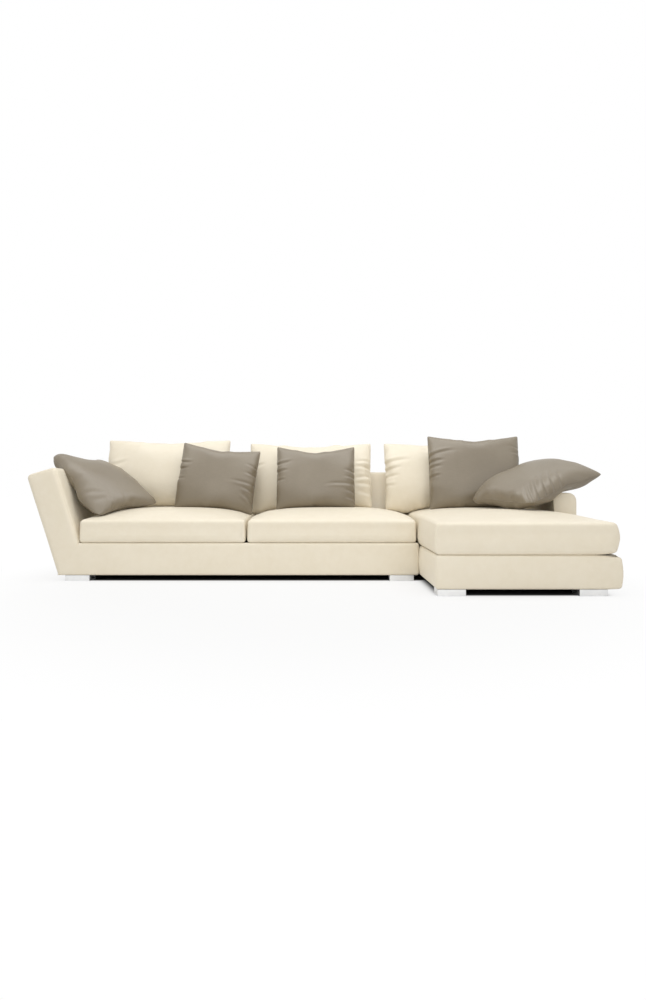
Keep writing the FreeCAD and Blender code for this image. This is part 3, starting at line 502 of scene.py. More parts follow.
def left_arm():
    """Upholstery of the leaning arm, which meets the back along the corner's diagonal."""
    section = {(-1, -1): (LEFT, BASE_Z), (1, -1): (LEFT + MAIN_FOOT, MAIN_TOP),
               (1, 1): (LEFT + IN_X, BASE_Z + IN_Z), (-1, 1): (LEFT + OUT_X, BASE_Z + OUT_Z)}
    corners = {}
    for (x_sign, z_sign), (x, z) in section.items():
        corners[(x_sign, -1, z_sign)] = (x, FRONT, z)
        corners[(x_sign, 1, z_sign)] = (x, MITRE - x, z)
    rounded = [
        (lambda middle, way: middle.z > HIGH and abs(way.y) > 0.9 or at(middle.y, FRONT) and middle.z > KNEE, 0.028, 5),
        (lambda middle, way: middle.x < ARM_SIDE and abs(way.y) > 0.5 and middle.z < LOW, 0.008, 2),
    ]
    rise = Vector((-math.sin(LEAN), 0, math.cos(LEAN)))
    low = Vector((LEFT, 0, BASE_Z))
    cells = [((0, FRONT, 0), (0, PAST_BACK, 0), CELL), (low, low + rise * PAST_TOP, CELL),
             (low, low + Vector((math.cos(LEAN), 0, math.sin(LEAN))) * SLAB, SLAB_CELL)]
    piece = block("left_arm_upholstery", corners, rounded, cells)
    swell(piece, rims(corners, unsewn=((-1, -1, -1), (1, -1, -1))), amount=0.004, reach=0.07, level=FRONT)
    return piece, corners


def slab_back(name, left, right, top, foot, mitred):
    """Upholstery of a leaning back; a mitred one meets the arm along the corner's diagonal."""
    section = {(-1, -1): (BACK - foot, top), (1, -1): (BACK, BASE_Z),
               (1, 1): (BACK - OUT_X, BASE_Z + OUT_Z), (-1, 1): (BACK - IN_X, BASE_Z + IN_Z)}
    corners = {}
    for (y_sign, z_sign), (y, z) in section.items():
        corners[(-1, y_sign, z_sign)] = (MITRE - y if mitred else left, y, z)
        corners[(1, y_sign, z_sign)] = (right, y, z)
    rounded = [
        (lambda middle, way: middle.z > HIGH and abs(way.x) > 0.9, 0.03, 5),
        (lambda middle, way: at(middle.x, right) and middle.z > KNEE, 0.010, 2),
        (lambda middle, way: not mitred and at(middle.x, left) and middle.z > KNEE, 0.010, 2),
        (lambda middle, way: abs(way.x) > 0.9 and middle.z < LOW, 0.008, 2),
    ]
    rise = Vector((0, math.sin(LEAN), math.cos(LEAN)))
    low = Vector((0, BACK, BASE_Z))
    cells = [((PAST_CORNER if mitred else left, 0, 0), (right, 0, 0), LONG_CELL), (low, low + rise * PAST_TOP, CELL),
             (low, low + Vector((0, -math.cos(LEAN), math.sin(LEAN))) * SLAB, SLAB_CELL)]
    piece = block(name, corners, rounded, cells)
    swell(piece, rims(corners), amount=0.004, reach=0.07)
    return piece, corners


def low_arm():
    """Upholstery of the low arm; its inner face leans in over the chaise cushion, and its back follows the back."""
    top_z = CHAISE_TOP + LOW_ARM_TALL
    deep = BACK - CHAISE_FOOT
    slope = LOW_ARM_TALL * math.tan(LEAN)
    corners = {}
    for x_sign, x, x_top in ((-1, LOW_ARM, LOW_ARM_TOP), (1, LOW_ARM_OUT, LOW_ARM_OUT)):
        corners[(x_sign, -1, -1)] = (x, FRONT, CHAISE_TOP)
        corners[(x_sign, -1, 1)] = (x_top, FRONT, top_z)
        corners[(x_sign, 1, -1)] = (x, deep, CHAISE_TOP)
        corners[(x_sign, 1, 1)] = (x_top, deep + slope, top_z)
    rounded = [
        (lambda middle, way: at(middle.x, LOW_ARM_OUT) and at(middle.z, top_z), 0.05, 7),
        (lambda middle, way: at(middle.x, LOW_ARM_TOP) and at(middle.z, top_z), 0.016, 4),
        (lambda middle, way: at(middle.y, FRONT) and middle.z > CHAISE_TOP + 0.01, 0.007, 2),
    ]
    cells = [((0, FRONT, 0), (0, PAST_LOW_ARM, 0), CELL), ((0, 0, CHAISE_TOP), (0, 0, top_z), CELL),
             ((LOW_ARM_TOP, 0, 0), (RIGHT, 0, 0), CELL)]
    piece = block("right_arm_upholstery", corners, rounded, cells)
    swell(piece, rims(corners), amount=0.003, reach=0.05)
    return piece, corners


def base_band(name, left, right, front, top, foot, mitred_left):
    """The upholstered band round a base, open above, below and towards the back."""
    corners = {}
    for x_sign, x in ((-1, left), (1, right)):
        for z_sign, z in ((-1, BASE_Z), (1, top)):
            lean_in = foot if mitred_left and x_sign < 0 and z_sign > 0 else 0
            corners[(x_sign, -1, z_sign)] = (x + lean_in, front, z)
            corners[(x_sign, 1, z_sign)] = (x + lean_in, BACK - (foot if z_sign > 0 else 0), z)

    def is_rounded(middle, way):
        at_front = at(middle.y, front)
        at_side = at(middle.x, right) or (not mitred_left and at(middle.x, left))
        return (at_front and (abs(way.x) > 0.9 or at_side)) or (at_side and abs(way.y) > 0.5)

    rounded = [(is_rounded, 0.014, 4)]
    cells = [((left, 0, 0), (right, 0, 0), LONG_CELL), ((0, front, 0), (0, BACK, 0), LONG_CELL),
             ((0, 0, BASE_Z), (0, 0, top), BAND_CELL)]
    piece = block(name, corners, rounded, cells)
    if mitred_left:
        swell(piece, rims(corners, unsewn=((-1, -1, -1), (-1, -1, 1))), amount=0.004, reach=0.07, level=front)
    else:
        swell(piece, rims(corners), amount=0.007, reach=0.06)
    wall = 0.016
    inside_wall = wall + 0.001
    edit(piece)

    def is_open(face):
        middle = face.calc_center_median()
        inside = middle.x > left + (0 if mitred_left else inside_wall) and middle.x < right - inside_wall
        flat = abs(face.normal.z) > 0.7 and inside and middle.y > front + inside_wall
        behind = face.normal.y > 0.5
        mitred_side = mitred_left and face.normal.x < -0.5
        return flat or behind or mitred_side

    pick(is_open, "faces")
    bpy.ops.mesh.delete(type="FACE")
    bpy.ops.object.mode_set(mode="OBJECT")
    walls = piece.modifiers.new("walls", "SOLIDIFY")
    walls.thickness = wall
    walls.offset = -1
    bpy.ops.object.modifier_apply(modifier=walls.name)
    return piece, corners


def upholster(piece, node):
    """Hang the upholstery on the frame, in the place of its solid."""
    finished(piece, "sofa_frame", "cream_leather", [node])


arm, arm_corners = left_arm()
grab(arm, [((LEFT + OUT_X, FRONT, BASE_Z + OUT_Z), 0.30, (-0.006, 0, 0.008))])
upholster(arm, "left_arm_cover")
main_back, main_back_corners = slab_back("main_back_upholstery", LEFT, MAIN_RIGHT, MAIN_TOP, MAIN_FOOT, True)
upholster(main_back, "main_back_cover")
chaise_back, chaise_back_corners = slab_back("chaise_back_upholstery", CHAISE_LEFT, RIGHT, CHAISE_TOP, CHAISE_FOOT,
                                             False)
upholster(chaise_back, "chaise_back_cover")
side_arm, side_arm_corners = low_arm()
upholster(side_arm, "right_arm_cover")
main_base, main_base_corners = base_band("main_base_upholstery", LEFT, MAIN_RIGHT, FRONT, MAIN_TOP, MAIN_FOOT, True)
upholster(main_base, "main_base_cover")
chaise_base, chaise_base_corners = base_band("chaise_base_upholstery", CHAISE_LEFT, RIGHT, CHAISE_FRONT, CHAISE_TOP,
                                             CHAISE_FOOT, False)
grab(chaise_base, [((RIGHT, CHAISE_FRONT, 0.13), 0.12, (0.014, 0, 0)),
                   ((RIGHT, CHAISE_FRONT, CHAISE_TOP), 0.07, (-0.005, 0, -0.012)),
                   ((RIGHT, CHAISE_FRONT, BASE_Z), 0.04, (-0.004, 0, 0.003))])
upholster(chaise_base, "chaise_base_cover")


def end_edges(side):
    """The sewn edges round the left or right end of a back, from behind over the top to the front."""
    return (side, 1, -1), (side, 1, 1), (side, -1, 1), (side, -1, -1)


def corner_edge(side):
    """The sewn upright edge at the left or right front corner of a base."""
    return (side, -1, -1), (side, -1, 1)


FRONT_EDGES = (-1, -1, -1), (-1, -1, 1), (1, -1, 1), (1, -1, -1)
seam("arm_front_seam", arm, arm_corners, FRONT_EDGES)
seam("main_back_end_seam", main_back, main_back_corners, end_edges(1))
for side in (-1, 1):
    seam(f"chaise_back_end_seam_{side + 1}", chaise_back, chaise_back_corners, end_edges(side))
seam("low_arm_front_seam", side_arm, side_arm_corners, FRONT_EDGES)
seam("main_base_corner_seam", main_base, main_base_corners, corner_edge(1), radius=0.001)
for side in (-1, 1):
    seam(f"chaise_base_corner_seam_{side + 1}", chaise_base, chaise_base_corners, corner_edge(side), radius=0.001)


# Cushions, stuffed by cloth simulation


def in_order(piece):
    """Number the vertices and faces by their places, so that the cloth adds up the same way in each run."""
    spots = points(piece)
    order = np.lexsort(spots.round(6).T)
    number = np.argsort(order)
    rings = []
    for face in piece.data.polygons:
        ring = [int(number[index]) for index in face.vertices]
        start = ring.index(min(ring))
        rings.append(ring[start:] + ring[:start])
    piece.data.clear_geometry()
    piece.data.from_pydata(spots[order].tolist(), [], sorted(rings))


def stuff(piece, pressure, frames, stiff=20.0, bend=0.2, pinned=None, cap=None):
    """Blow up the sewn shell like a filled cover, without its weight.
"""
    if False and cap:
        return
    before = points(piece)
    cover = piece.modifiers.new("cover", "CLOTH")
    cloth = cover.settings
    cloth.quality = 6
    cloth.mass = 0.3
    cloth.tension_stiffness = cloth.compression_stiffness = stiff
    cloth.shear_stiffness = stiff / 2
    cloth.bending_stiffness = bend
    cloth.tension_damping = cloth.compression_damping = cloth.shear_damping = 5
    cloth.use_pressure = True
    cloth.uniform_pressure_force = pressure
    cloth.effector_weights.gravity = 0
    cover.collision_settings.use_collision = False
    if pinned is not None:
        pins = piece.vertex_groups.new(name="pins")
        pins.add([int(index) for index in pinned], 1.0, "REPLACE")
        cloth.vertex_group_mass = "pins"
    cover.point_cache.frame_start = 1
    cover.point_cache.frame_end = frames
    for number in range(1, frames + 1):
        bpy.context.scene.frame_set(number)
    activate(piece)
    bpy.ops.object.modifier_apply(modifier=cover.name)
    bpy.context.scene.frame_set(1)
    if cap:
        moved = points(piece) - before
        far = np.linalg.norm(moved, axis=1, keepdims=True)
        put(piece, before + moved * np.minimum(1, cap / np.maximum(far, 1e-9)))
    piece.vertex_groups.clear()


SEAT_CORNER, SEAT_CELL = 0.018, 0.026


def seat(name, node, body, crown, bulge, wider=(0, 0), notch=None):
    """A seat cushion: flat below, straight front edge, rising to a crown with its sides falling away.

    crown gives the heights of the front edge, the sides and the crown, and how far back the crown is reached."""
    low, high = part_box(node)
    low.x, high.x = low.x - wider[0], high.x + wider[1]
    front_rise, side_rise, crown_rise, crown_depth = crown
    width, depth = high.x - low.x - 2 * bulge, high.y - low.y
    middle = (low.x + high.x) / 2
    piece = new_primitive(name, bpy.ops.mesh.primitive_cube_add, size=1)
    bpy.ops.transform.resize(value=(width, depth, front_rise))
    bpy.ops.transform.translate(value=(middle, low.y + depth / 2, low.z + front_rise / 2))
    if notch:
        edge_x, edge_y = notch
        slice_through((edge_x, 0, 0), (1, 0, 0))
        slice_through((0, edge_y, 0), (0, 1, 0))

        def in_corner(face):
            return face.calc_center_median().x > edge_x and face.calc_center_median().y > edge_y

        pick(lambda face: in_corner(face) and abs(face.normal.z) < 0.5, "faces")
        bpy.ops.mesh.delete(type="FACE")
        pick(in_corner, "faces")
        bpy.ops.mesh.delete(type="FACE")
        pick(lambda edge: edge.is_boundary, "edges")
        bpy.ops.mesh.edge_face_add()
    bpy.ops.mesh.select_all(action="SELECT")
    bpy.ops.mesh.normals_make_consistent(inside=False)
    pick(lambda edge: len(edge.link_faces) == 2 and edge.calc_face_angle(0) > 0.5, "edges")
    bpy.ops.mesh.bevel(offset=SEAT_CORNER, segments=4, profile=0.5, affect="EDGES")
    for start, end, way in ((low.x, high.x, (1, 0, 0)), (low.y, high.y, (0, 1, 0)),
                            (low.z, low.z + front_rise, (0, 0, 1))):
        for index in range(1, round((end - start) / SEAT_CELL)):
            slice_through(Vector(way) * (start + index * SEAT_CELL), way)
    close_shell(0.0004)
    in_order(piece)
    spots = points(piece)
    across = np.abs(spots[:, 0] - middle) / (width / 2)
    lift = np.sin(0.5 * math.pi * np.clip((spots[:, 1] - low.y) / crown_depth, 0, 1))
    level = (spots[:, 2] - low.z) / front_rise
    top = front_rise + lift * ((crown_rise - front_rise) - (crown_rise - side_rise) * across**3.2)
    bow = np.sin(math.pi * np.clip(level, 0, 1)) * bulge
    spots[:, 0] += np.sign(spots[:, 0] - middle) * bow * smoothstep(0.9, 1, across)
    spots[:, 2] = low.z + level * top
    put(piece, spots)
    base = np.nonzero(points(piece)[:, 2] < low.z + 0.012)[0]
    stuff(piece, pressure=2.0, frames=8, stiff=30, bend=0.5, pinned=base, cap=0.004)
    return finished(piece, body, "cream_leather", [node], angle=60)


SEAT_CROWN = (0.140, 0.156, 0.208, 0.300)
left_seat = seat("left_seat_cushion", "seat_cushion_left", "left_seat", SEAT_CROWN, 0.0015, wider=(0.004, -0.012))
right_seat = seat("right_seat_cushion", "seat_cushion_right", "right_seat", SEAT_CROWN, 0.0015, wider=(0.012, 0))
chaise_seat = seat("chaise_seat_cushion", "chaise_cushion", "chaise_seat", (0.172, 0.184, 0.225, 0.560), 0.016,
                   notch=(LOW_ARM - 0.003, FRONT - 0.003))
grab(chaise_seat, [((RIGHT - 0.01, CHAISE_FRONT, 0.31), 0.12, (0.012, 0, 0)),
                   ((RIGHT - 0.01, CHAISE_FRONT, CHAISE_TOP), 0.07, (-0.004, 0, 0.010))])


def sewn_pillow(name, width, height, edge, cell, pressure, frames, stiff, bend, calm):
    """Two sheets sewn round their edge and filled; it lies flat, its sides still unshaped."""
    piece = new_primitive(name, bpy.ops.mesh.primitive_grid_add, size=1,
                          x_subdivisions=round(width / cell), y_subdivisions=round(height / cell))
    bpy.ops.transform.resize(value=(width, height, 1))
    bpy.ops.transform.translate(value=(0, 0, -edge))
    for _ in range(2):
        bpy.ops.mesh.extrude_region_move(TRANSFORM_OT_translate={"value": (0, 0, edge)})
    bpy.ops.mesh.select_all(action="SELECT")
    bpy.ops.mesh.normals_make_consistent(inside=False)
    bpy.ops.object.mode_set(mode="OBJECT")
    in_order(piece)
    charts = piece.data.uv_layers.new(name="cut_cloth")
    for loop, chart in zip(piece.data.loops, charts.data):
        place = piece.data.vertices[loop.vertex_index].co
        chart.uv = (place.x / width + 0.5, place.y / height + 0.5)
    flat = points(piece)
    rim = np.nonzero(np.abs(flat[:, 2]) < 1e-6)[0]
    rim = rim[np.argsort(np.arctan2(flat[rim, 1] / height, flat[rim, 0] / width))]
    sides = [rim[np.isclose(flat[rim, axis], sign * size / 2)] for axis, size in ((0, width), (1, height))
             for sign in (-1, 1)]
    stuff(piece, pressure, frames, stiff, bend)
    edit(piece)
    bpy.ops.mesh.select_all(action="SELECT")
    bpy.ops.mesh.vertices_smooth(factor=0.5, repeat=calm)
    bpy.ops.object.mode_set(mode="OBJECT")
    return piece, rim, sides


def trim(piece, sides, size, dips, rounds):
    """Bring the filled cover to its cut size: dips are how far its left, right, lower and upper edges are
    drawn in at their middles, and rounds are the radii of its four corners, from the lower left one round."""
    spots = points(piece)
    spots -= (spots.min(axis=0) + spots.max(axis=0)) / 2
    spots *= np.array(size) / np.ptp(spots, axis=0)
    half = np.array(size) / 2
    for axis, pair in ((0, sides[:2]), (1, sides[2:])):
        other = 1 - axis
        new = spots[:, axis].copy()
        for sign, side, dip in zip((-1, 1), pair, dips[2 * axis : 2 * axis + 2]):
            edge = spots[side]
            edge = edge[np.argsort(edge[:, other])]
            edge_at = np.interp(spots[:, other], edge[:, other], edge[:, axis])
            share = np.clip(np.abs(spots[:, other]) / half[other], 0, 1)
            aim = sign * (half[axis] - dip * (1 - share**1.25))
            mine = spots[:, axis] * sign > 0
            new[mine] = (spots[:, axis] * aim / edge_at)[mine]
        spots[:, axis] = new
    for radius, (x_sign, y_sign) in zip(rounds, ((-1, -1), (1, -1), (1, 1), (-1, 1))):
        corner = np.array([x_sign, y_sign]) * (half[:2] - radius)
        out = (spots[:, :2] - corner) * [x_sign, y_sign]
        inside = (out > 0).all(axis=1)
        share = out.max(axis=1) / np.maximum(np.linalg.norm(out, axis=1), 1e-9)
        spots[inside, :2] = (corner + out * share[:, None] * [x_sign, y_sign])[inside]
    put(piece, spots)


def stand(piece, node, turn=0.0, lean=0.0, roll=0.0, aside=0.0):
    """Turn a flat pillow upright and put it where its solid is, or a little aside."""
    low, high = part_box(node)
    turned = (Matrix.Rotation(math.radians(turn), 4, "Z") @ Matrix.Rotation(math.radians(-lean), 4, "X")
              @ Matrix.Rotation(math.radians(roll), 4, "Y") @ Matrix.Rotation(math.radians(90), 4, "X"))
    piece.data.transform(Matrix.Translation((low + high) / 2 + Vector((aside, 0, 0))) @ turned)


def bow_down(piece, start, end, share, soft):
    """Let what lies off a line in plan hang down on both sides of it, as over an arm."""
    spots = points(piece)
    way = np.array(end) - np.array(start)
    way /= np.linalg.norm(way)
    off = (spots[:, :2] - np.array(start)) @ np.array([way[1], -way[0]])
    spots[:, 2] -= share * (np.sqrt(off**2 + soft**2) - soft)
    put(piece, spots)


def crease(piece, marks):
    """Small folds in a pillow's upper side: each runs from x, y at an angle, bends, and fades at its far end."""
    spots, ways = points(piece), normals(piece)
    for x, y, angle, length, wide, deep, bend in marks:
        way = np.array([math.cos(math.radians(angle)), math.sin(math.radians(angle))])
        offset = spots[:, :2] - np.array([x, y])
        along = offset @ way
        across = offset @ np.array([-way[1], way[0]]) - bend * along**2 / length
        fade = smoothstep(-0.25 * length, 0.1 * length, along) * (1 - smoothstep(0.35 * length, length, along))
        fold = -np.exp(-((across / wide) ** 2)) + 0.6 * np.exp(-(((across - 1.7 * wide) / (1.1 * wide)) ** 2))
        spots += ways * (fold * fade * deep * (spots[:, 2] > 0))[:, None]
    put(piece, spots)


def refine(piece):
    """Divide each face into four, rounding them off."""
    finer = piece.modifiers.new("finer", "SUBSURF")
    finer.levels = finer.render_levels = 1
    activate(piece)
    bpy.ops.object.modifier_apply(modifier=finer.name)


def piping(piece, rim, radius, body, slot):
    """The cord sewn into the edge of a pillow."""
    tube(piece.name + "_piping", points(piece)[rim], radius, body, slot, closed=True, sides=2)


# Depths between which the pillows' feet stand, how far to each side they bridge a valley between two seats, how high
# over the seats they stop, and how far they can sink at most
STAND_FROM, STAND_TO, BRIDGE, HOVER, MOST_SINK = 0.41, 0.43, 0.02, 0.0015, 0.06


def seat_level(x):
    """Height of the seats' tops behind their crowns, with the valleys between them a little bridged."""
    level = []
    for piece in (left_seat, right_seat, chaise_seat):
        spots = points(piece)
        spots = spots[(spots[:, 1] > STAND_FROM) & (spots[:, 1] < STAND_TO)]
        left, right = spots[:, 0].min(), spots[:, 0].max()
        bins = np.linspace(left, right, 40)
        tops = [spots[np.abs(spots[:, 0] - spot) < BRIDGE, 2].max() for spot in bins]
        for aside in (-BRIDGE, 0, BRIDGE):
            beside = (x + aside > left - BRIDGE) & (x + aside < right + BRIDGE)
            level.append(np.where(beside, np.interp(x + aside, bins, tops), 1.0))
    return sum(np.min(level[start::3], axis=0) for start in range(3)) / 3


def settle(piece, lower, height):
    """Let a standing pillow sink along its lower edge until it follows the seats below it."""
    spots = points(piece)
    edge = spots[lower][np.argsort(spots[lower, 0])]
    foot = np.interp(spots[:, 0], edge[:, 0], edge[:, 2]) - edge[:, 2].min() + spots[:, 2].min()
    drop = np.clip(foot - seat_level(spots[:, 0]) - HOVER, 0, MOST_SINK)
    spots[:, 2] -= drop * (1 - smoothstep(0, height, spots[:, 2] - foot))
    put(piece, spots)


def scatter(name, node, body, folds, dips, rounds, turn=0, lean=0, roll=0, large=False, droops=(), pulls=(),
            rests=False):
    """A satin pillow; it hangs down beside the droops' lines, and one that rests sinks onto the seats."""
    width, height, thick = (0.628, 0.498, 0.160) if large else (0.535, 0.422, 0.150)
    piece, rim, sides = sewn_pillow(name, width * 1.04, height * 1.05, edge=0.004, cell=0.0105, pressure=3.0,
                                    frames=15, stiff=20.0, bend=0.2, calm=7)
    trim(piece, sides, (width, height, thick), dips, rounds)
    refine(piece)
    crease(piece, folds)
    stand(piece, node, turn, lean, roll)
    for droop in droops:
        bow_down(piece, *droop)
    grab(piece, pulls)
    if rests:
        settle(piece, sides[2], height=0.12)
    finished(piece, body, "taupe_satin", [node], angle=70)
    piping(piece, rim, 0.0022, body, "taupe_satin")


STANDING_ROUNDS = (0.012, 0.012, 0.008, 0.008)
scatter("left_scatter_pillow", "scatter_cushion_left", "left_scatter",
        [(-0.262, 0.066, -12, 0.10, 0.008, 0.006, 0.25), (-0.262, 0.015, 4, 0.09, 0.008, 0.005, 0.1),
         (-0.262, -0.055, 6, 0.07, 0.007, 0.004, 0.0), (0.262, 0.075, 152, 0.085, 0.008, 0.006, 0.2),
         (0.262, 0.018, 156, 0.09, 0.008, 0.006, 0.2), (0.262, -0.045, 168, 0.20, 0.009, 0.005, 0.12),
         (0.262, -0.095, 154, 0.10, 0.008, 0.006, 0.15), (0.262, -0.15, 146, 0.10, 0.008, 0.006, 0.1)],
        dips=(0.006, 0.006, 0.004, 0.034), rounds=STANDING_ROUNDS, lean=13, roll=7, rests=True)
scatter("middle_scatter_pillow", "scatter_cushion_middle", "middle_scatter",
        [(-0.262, 0.074, 6, 0.12, 0.009, 0.006, 0.1), (-0.262, 0.020, 8, 0.09, 0.008, 0.005, 0.0),
         (-0.262, -0.040, -4, 0.07, 0.007, 0.004, 0.1), (0.262, 0.012, 154, 0.08, 0.008, 0.007, 0.2),
         (0.262, -0.030, 158, 0.08, 0.008, 0.006, 0.2), (0.240, -0.068, 176, 0.22, 0.009, 0.005, 0.12),
         (0.262, -0.125, 160, 0.08, 0.008, 0.006, 0.1), (0.262, -0.165, 164, 0.07, 0.007, 0.006, 0.1)],
        dips=(0.003, 0.004, 0.004, 0.048), rounds=STANDING_ROUNDS, lean=15, rests=True)
scatter("right_scatter_pillow", "scatter_cushion_right", "right_scatter",
        [(-0.308, 0.094, 22, 0.20, 0.010, 0.007, -0.2), (-0.308, 0.050, 12, 0.11, 0.009, 0.006, -0.1),
         (-0.308, 0.010, 8, 0.10, 0.009, 0.005, 0.0), (-0.308, -0.055, 8, 0.08, 0.008, 0.005, 0.0),
         (0.300, 0.150, 160, 0.08, 0.009, 0.003, 0.1), (0.300, 0.105, 164, 0.08, 0.008, 0.003, 0.1)],
        dips=(0.004, 0.006, 0.004, 0.042), rounds=STANDING_ROUNDS, lean=14, large=True, rests=True)
scatter("arm_scatter_pillow", "scatter_cushion_arm", "arm_scatter",
        [(0.262, -0.10, 168, 0.14, 0.013, 0.003, 0.2), (0.262, -0.02, 172, 0.10, 0.012, 0.002, 0.1),
         (0.12, -0.20, 70, 0.14, 0.014, 0.002, -0.2), (0.18, -0.19, 80, 0.12, 0.014, 0.002, -0.2)],
        dips=(0.006, 0.006, 0.008, 0.010), rounds=(0.05, 0.05, 0.05, 0.10), turn=51.5, lean=49, roll=85.2,
        pulls=[((-1.706, 0.061, 0.793), 0.12, (-0.022, -0.01, -0.004)), ((-1.700, 0.061, 0.780), 0.09, 0.022),
               ((-1.600, 0.200, 0.800), 0.12, (0, 0, -0.036)), ((-1.465, 0.407, 0.816), 0.18, (0, 0, -0.040)),
               ((-1.122, 0.191, 0.466), 0.13, (0.046, 0, 0.004)), ((-1.363, -0.155, 0.443), 0.12, (0, 0, -0.030)),
               ((-1.451, -0.100, 0.533), 0.11, (-0.048, -0.01, -0.018)),
               ((-1.715, 0.060, 0.715), 0.055, (-0.008, 0, -0.018)), ((-1.600, 0.200, 0.800), 0.12, (0, 0, -0.022)),
               ((-1.420, 0.390, 0.780), 0.17, (0, 0, -0.026)), ((-1.330, 0.270, 0.700), 0.10, (0, 0, -0.012)),
               ((-1.570, 0.000, 0.600), 0.12, (-0.010, -0.036, -0.006)),
               ((-1.610, 0.020, 0.670), 0.08, (0.004, -0.060, 0.012)),
               ((-1.390, -0.110, 0.430), 0.07, (0, 0, -0.010))])
scatter("over_arm_scatter_pillow", "scatter_cushion_over_arm", "over_arm_scatter",
        [(-0.305, -0.225, 62, 0.15, 0.010, 0.007, -0.25), (-0.285, -0.245, 62, 0.19, 0.010, 0.007, -0.25),
         (-0.235, -0.245, 58, 0.23, 0.011, 0.007, -0.25), (-0.170, -0.245, 58, 0.21, 0.011, 0.007, -0.25),
         (-0.100, -0.245, 60, 0.20, 0.011, 0.006, -0.25), (-0.030, -0.245, 62, 0.18, 0.011, 0.004, -0.25)],
        dips=(0.012, 0.012, 0.012, 0.012), rounds=(0.05, 0.02, 0.02, 0.06), turn=-45, lean=69.7, roll=-74, large=True,
        droops=[((1.267, -0.40), (1.537, 0.31), 0.11, 0.10)],
        pulls=[((1.100, 0.06, 0.58), 0.17, (-0.012, 0, 0.036)), ((1.030, 0.03, 0.50), 0.08, 0.014),
               ((1.400, 0.10, 0.70), 0.25, (0, 0, 0.015)), ((1.030, 0.03, 0.52), 0.10, (-0.002, 0, -0.030)),
               ((1.700, -0.05, 0.72), 0.12, (0, 0, 0.010)), ((1.560, -0.22, 0.50), 0.10, (0, 0, 0.036)),
               ((1.200, -0.20, 0.44), 0.12, (0, 0, -0.010)), ((1.780, -0.10, 0.66), 0.08, (0.012, 0, 0))])


def back_pillow(name, node, body, folds, width, height, dips, aside=0.0):
    """A leather pillow that leans against the back and sinks onto the seats."""
    piece, rim, sides = sewn_pillow(name, width * 1.05, height * 1.09, edge=0.012, cell=0.0125, pressure=3.2,
                                    frames=18, stiff=24.0, bend=0.3, calm=14)
    trim(piece, sides, (width, height, 0.225), dips, rounds=(0.02, 0.02, 0.012, 0.012))
    refine(piece)
    crease(piece, folds)
    stand(piece, node, lean=math.degrees(LEAN), aside=aside)
    settle(piece, sides[2], height=0.16)
    finished(piece, body, "cream_leather", [node], angle=70)
    piping(piece, rim, 0.002, body, "cream_leather")


back_pillow("left_back_pillow", "back_cushion_left", "left_back_cushion",
            [(-0.37, 0.030, 8, 0.13, 0.012, 0.004, 0.1), (-0.37, -0.015, 4, 0.10, 0.010, 0.003, 0.0)],
            width=0.885, height=0.487, dips=(0.022, 0.008, 0.003, 0.030), aside=-0.011)
back_pillow("middle_back_pillow", "back_cushion_middle", "middle_back_cushion",
            [(0.412, 0.074, 184, 0.12, 0.010, 0.006, 0.1), (0.412, 0.023, 176, 0.12, 0.010, 0.007, 0.1),
             (0.412, -0.043, 188, 0.13, 0.011, 0.008, 0.1), (0.412, -0.100, 178, 0.11, 0.010, 0.007, 0.0),
             (0.412, -0.155, 174, 0.11, 0.010, 0.006, 0.0), (-0.425, 0.03, 4, 0.12, 0.010, 0.005, 0.1)],
            width=0.876, height=0.461, dips=(0.008, 0.008, 0.003, 0.034), aside=-0.005)
back_pillow("right_back_pillow", "back_cushion_right", "right_back_cushion",
            [(-0.425, 0.060, 12, 0.20, 0.012, 0.006, -0.1), (-0.425, 0.010, 8, 0.13, 0.010, 0.006, 0.0),
             (-0.425, -0.040, 4, 0.11, 0.010, 0.005, 0.0), (-0.425, -0.100, -4, 0.09, 0.009, 0.004, 0.0)],
            width=0.860, height=0.461, dips=(0.008, 0.008, 0.003, 0.022))


# Floor, light and camera


def pale_floor():
    """Matt, with a painted shadow under the modules, and near to white where the camera sees it, the more so away from
    the sofa; the glow is dimmed near the sofa as painted shade.
    """
    material = bpy.data.materials.new("pale_floor")
    ground = Nodes(material)
    ground.nodes.clear()
    place = ground.node("ShaderNodeTexCoord", {}, output="Object")
    x, y = (ground.node("ShaderNodeSeparateXYZ", {}, place, output=axis) for axis in (0, 1))
    oval = ground.node("ShaderNodeVectorMath", {"operation": "MULTIPLY"}, place, (1.25, 1, 1))
    far = ground.node("ShaderNodeVectorMath", {"operation": "LENGTH"}, oval, output=1)
    away = far.clamp(1.3, 2.8)  # 0 near the sofa, 1 in the open

    def under(left, right, front, back):
        """One module's footprint, where the floor gets a painted shadow and no glow, fading out at its edges."""
        sides = x.clamp(left + 0.02, left + 0.10) * x.clamp(right - 0.10, right - 0.02, 1.0, 0.0)
        ends = y.clamp(front - 0.01, front + 0.05) * y.clamp(back - 0.10, back - 0.02, 1.0, 0.0)
        return sides * ends

    painted_shadow_mask = under(LEFT, RIGHT, FRONT, BACK).maths(
        "MAXIMUM", under(CHAISE_LEFT - 0.05, RIGHT, CHAISE_FRONT, BACK))
    # Painted shadow: the floor's own colour falls from 0.84 to 0.12 under the modules.
    level = 0.84 - painted_shadow_mask * 0.72
    matt = ground.node("ShaderNodeBsdfDiffuse", {}, ground.node("ShaderNodeCombineColor", {}, level, level, level))
    # Painted shade: the glow is dimmer near the sofa, a faint grey round it, and brightens to white in the open; near
    # the sofa more of the real shadow also shows through.
    glow = ground.node("ShaderNodeEmission", {}, Strength=away * 0.045 + 0.96)
    glowing = (away * 0.28 + 0.72) * (1.0 - painted_shadow_mask)
    seen = ground.node("ShaderNodeLightPath", {}, output="Is Camera Ray") * glowing
    ground.show("ShaderNodeOutputMaterial", ground.node("ShaderNodeMixShader", {}, seen, matt, glow))
    return material


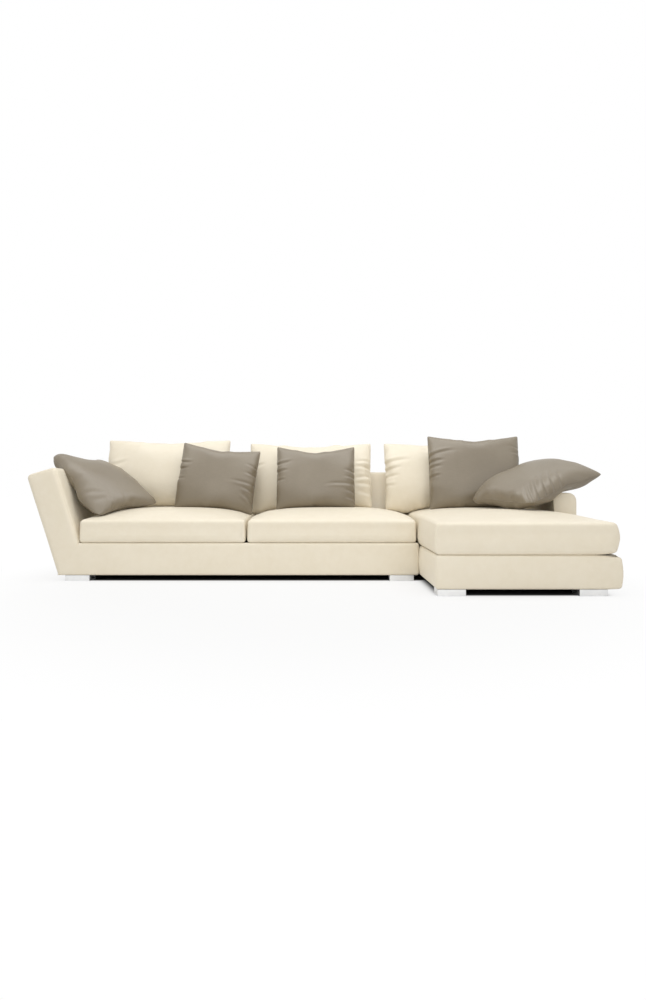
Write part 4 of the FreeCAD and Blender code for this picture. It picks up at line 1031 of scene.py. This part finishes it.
def studio_air():
    """A warm, dim room for the light, and white wherever the camera or a mirror looks past the sofa."""
    world = bpy.data.worlds.new("studio")
    air = Nodes(world)
    air.nodes.clear()
    camera_ray, glossy_ray, through_ray = (
        air.node("ShaderNodeLightPath", {}, output=f"Is {kind} Ray") for kind in ("Camera", "Glossy", "Transmission"))
    room = air.node("ShaderNodeBackground", {}, (1.0, 0.985, 0.955, 1), 0.64)
    white = air.node("ShaderNodeBackground", {}, (1, 1, 1, 1))
    shown = camera_ray.maths("MAXIMUM", glossy_ray).maths("MAXIMUM", through_ray)
    air.show("ShaderNodeOutputWorld", air.node("ShaderNodeMixShader", {}, shown, room, white))
    return world


def lamp(name, place, aim, across, up, power, colour=(1, 1, 1)):
    """A soft box that looks at a spot."""
    light = bpy.data.lights.new(name, "AREA")
    light.shape = "RECTANGLE"
    light.size, light.size_y = across, up
    light.energy = power
    light.color = colour
    holder = bpy.data.objects.new(name, light)
    bpy.context.collection.objects.link(holder)
    holder.location = place
    holder.rotation_euler = (Vector(aim) - Vector(place)).to_track_quat("-Z", "Y").to_euler()


bpy.ops.object.select_all(action="DESELECT")
bpy.ops.mesh.primitive_plane_add(size=80, location=(0, 0, 0))
floor = bpy.context.active_object
floor.name = "floor"
floor.data.materials.append(pale_floor())

bpy.context.scene.world = studio_air()
lamp("overhead_softbox", (0, -0.6, 3.3), (0, -0.1, 0.3), 4.8, 2.8, 74, (0.97, 0.985, 1.0))
lamp("front_softbox", (0.1, -4.6, 2.4), (0.1, 0, 0.4), 4.6, 2.0, 36)

# Where the photo was taken from: level, 0.56 m up and about 4 m in front of the two-seat module
camera_data = bpy.data.cameras.new("camera")
camera_data.sensor_width = 36
camera_data.lens = 23.4
camera_data.shift_y = -0.0093
camera = bpy.data.objects.new("camera", camera_data)
bpy.context.collection.objects.link(camera)
camera.location = (0.0395, -4.227, 0.56)
camera.rotation_euler = (math.radians(90), 0, 0)
bpy.context.scene.camera = camera
bpy.context.scene.view_settings.view_transform = "Standard"
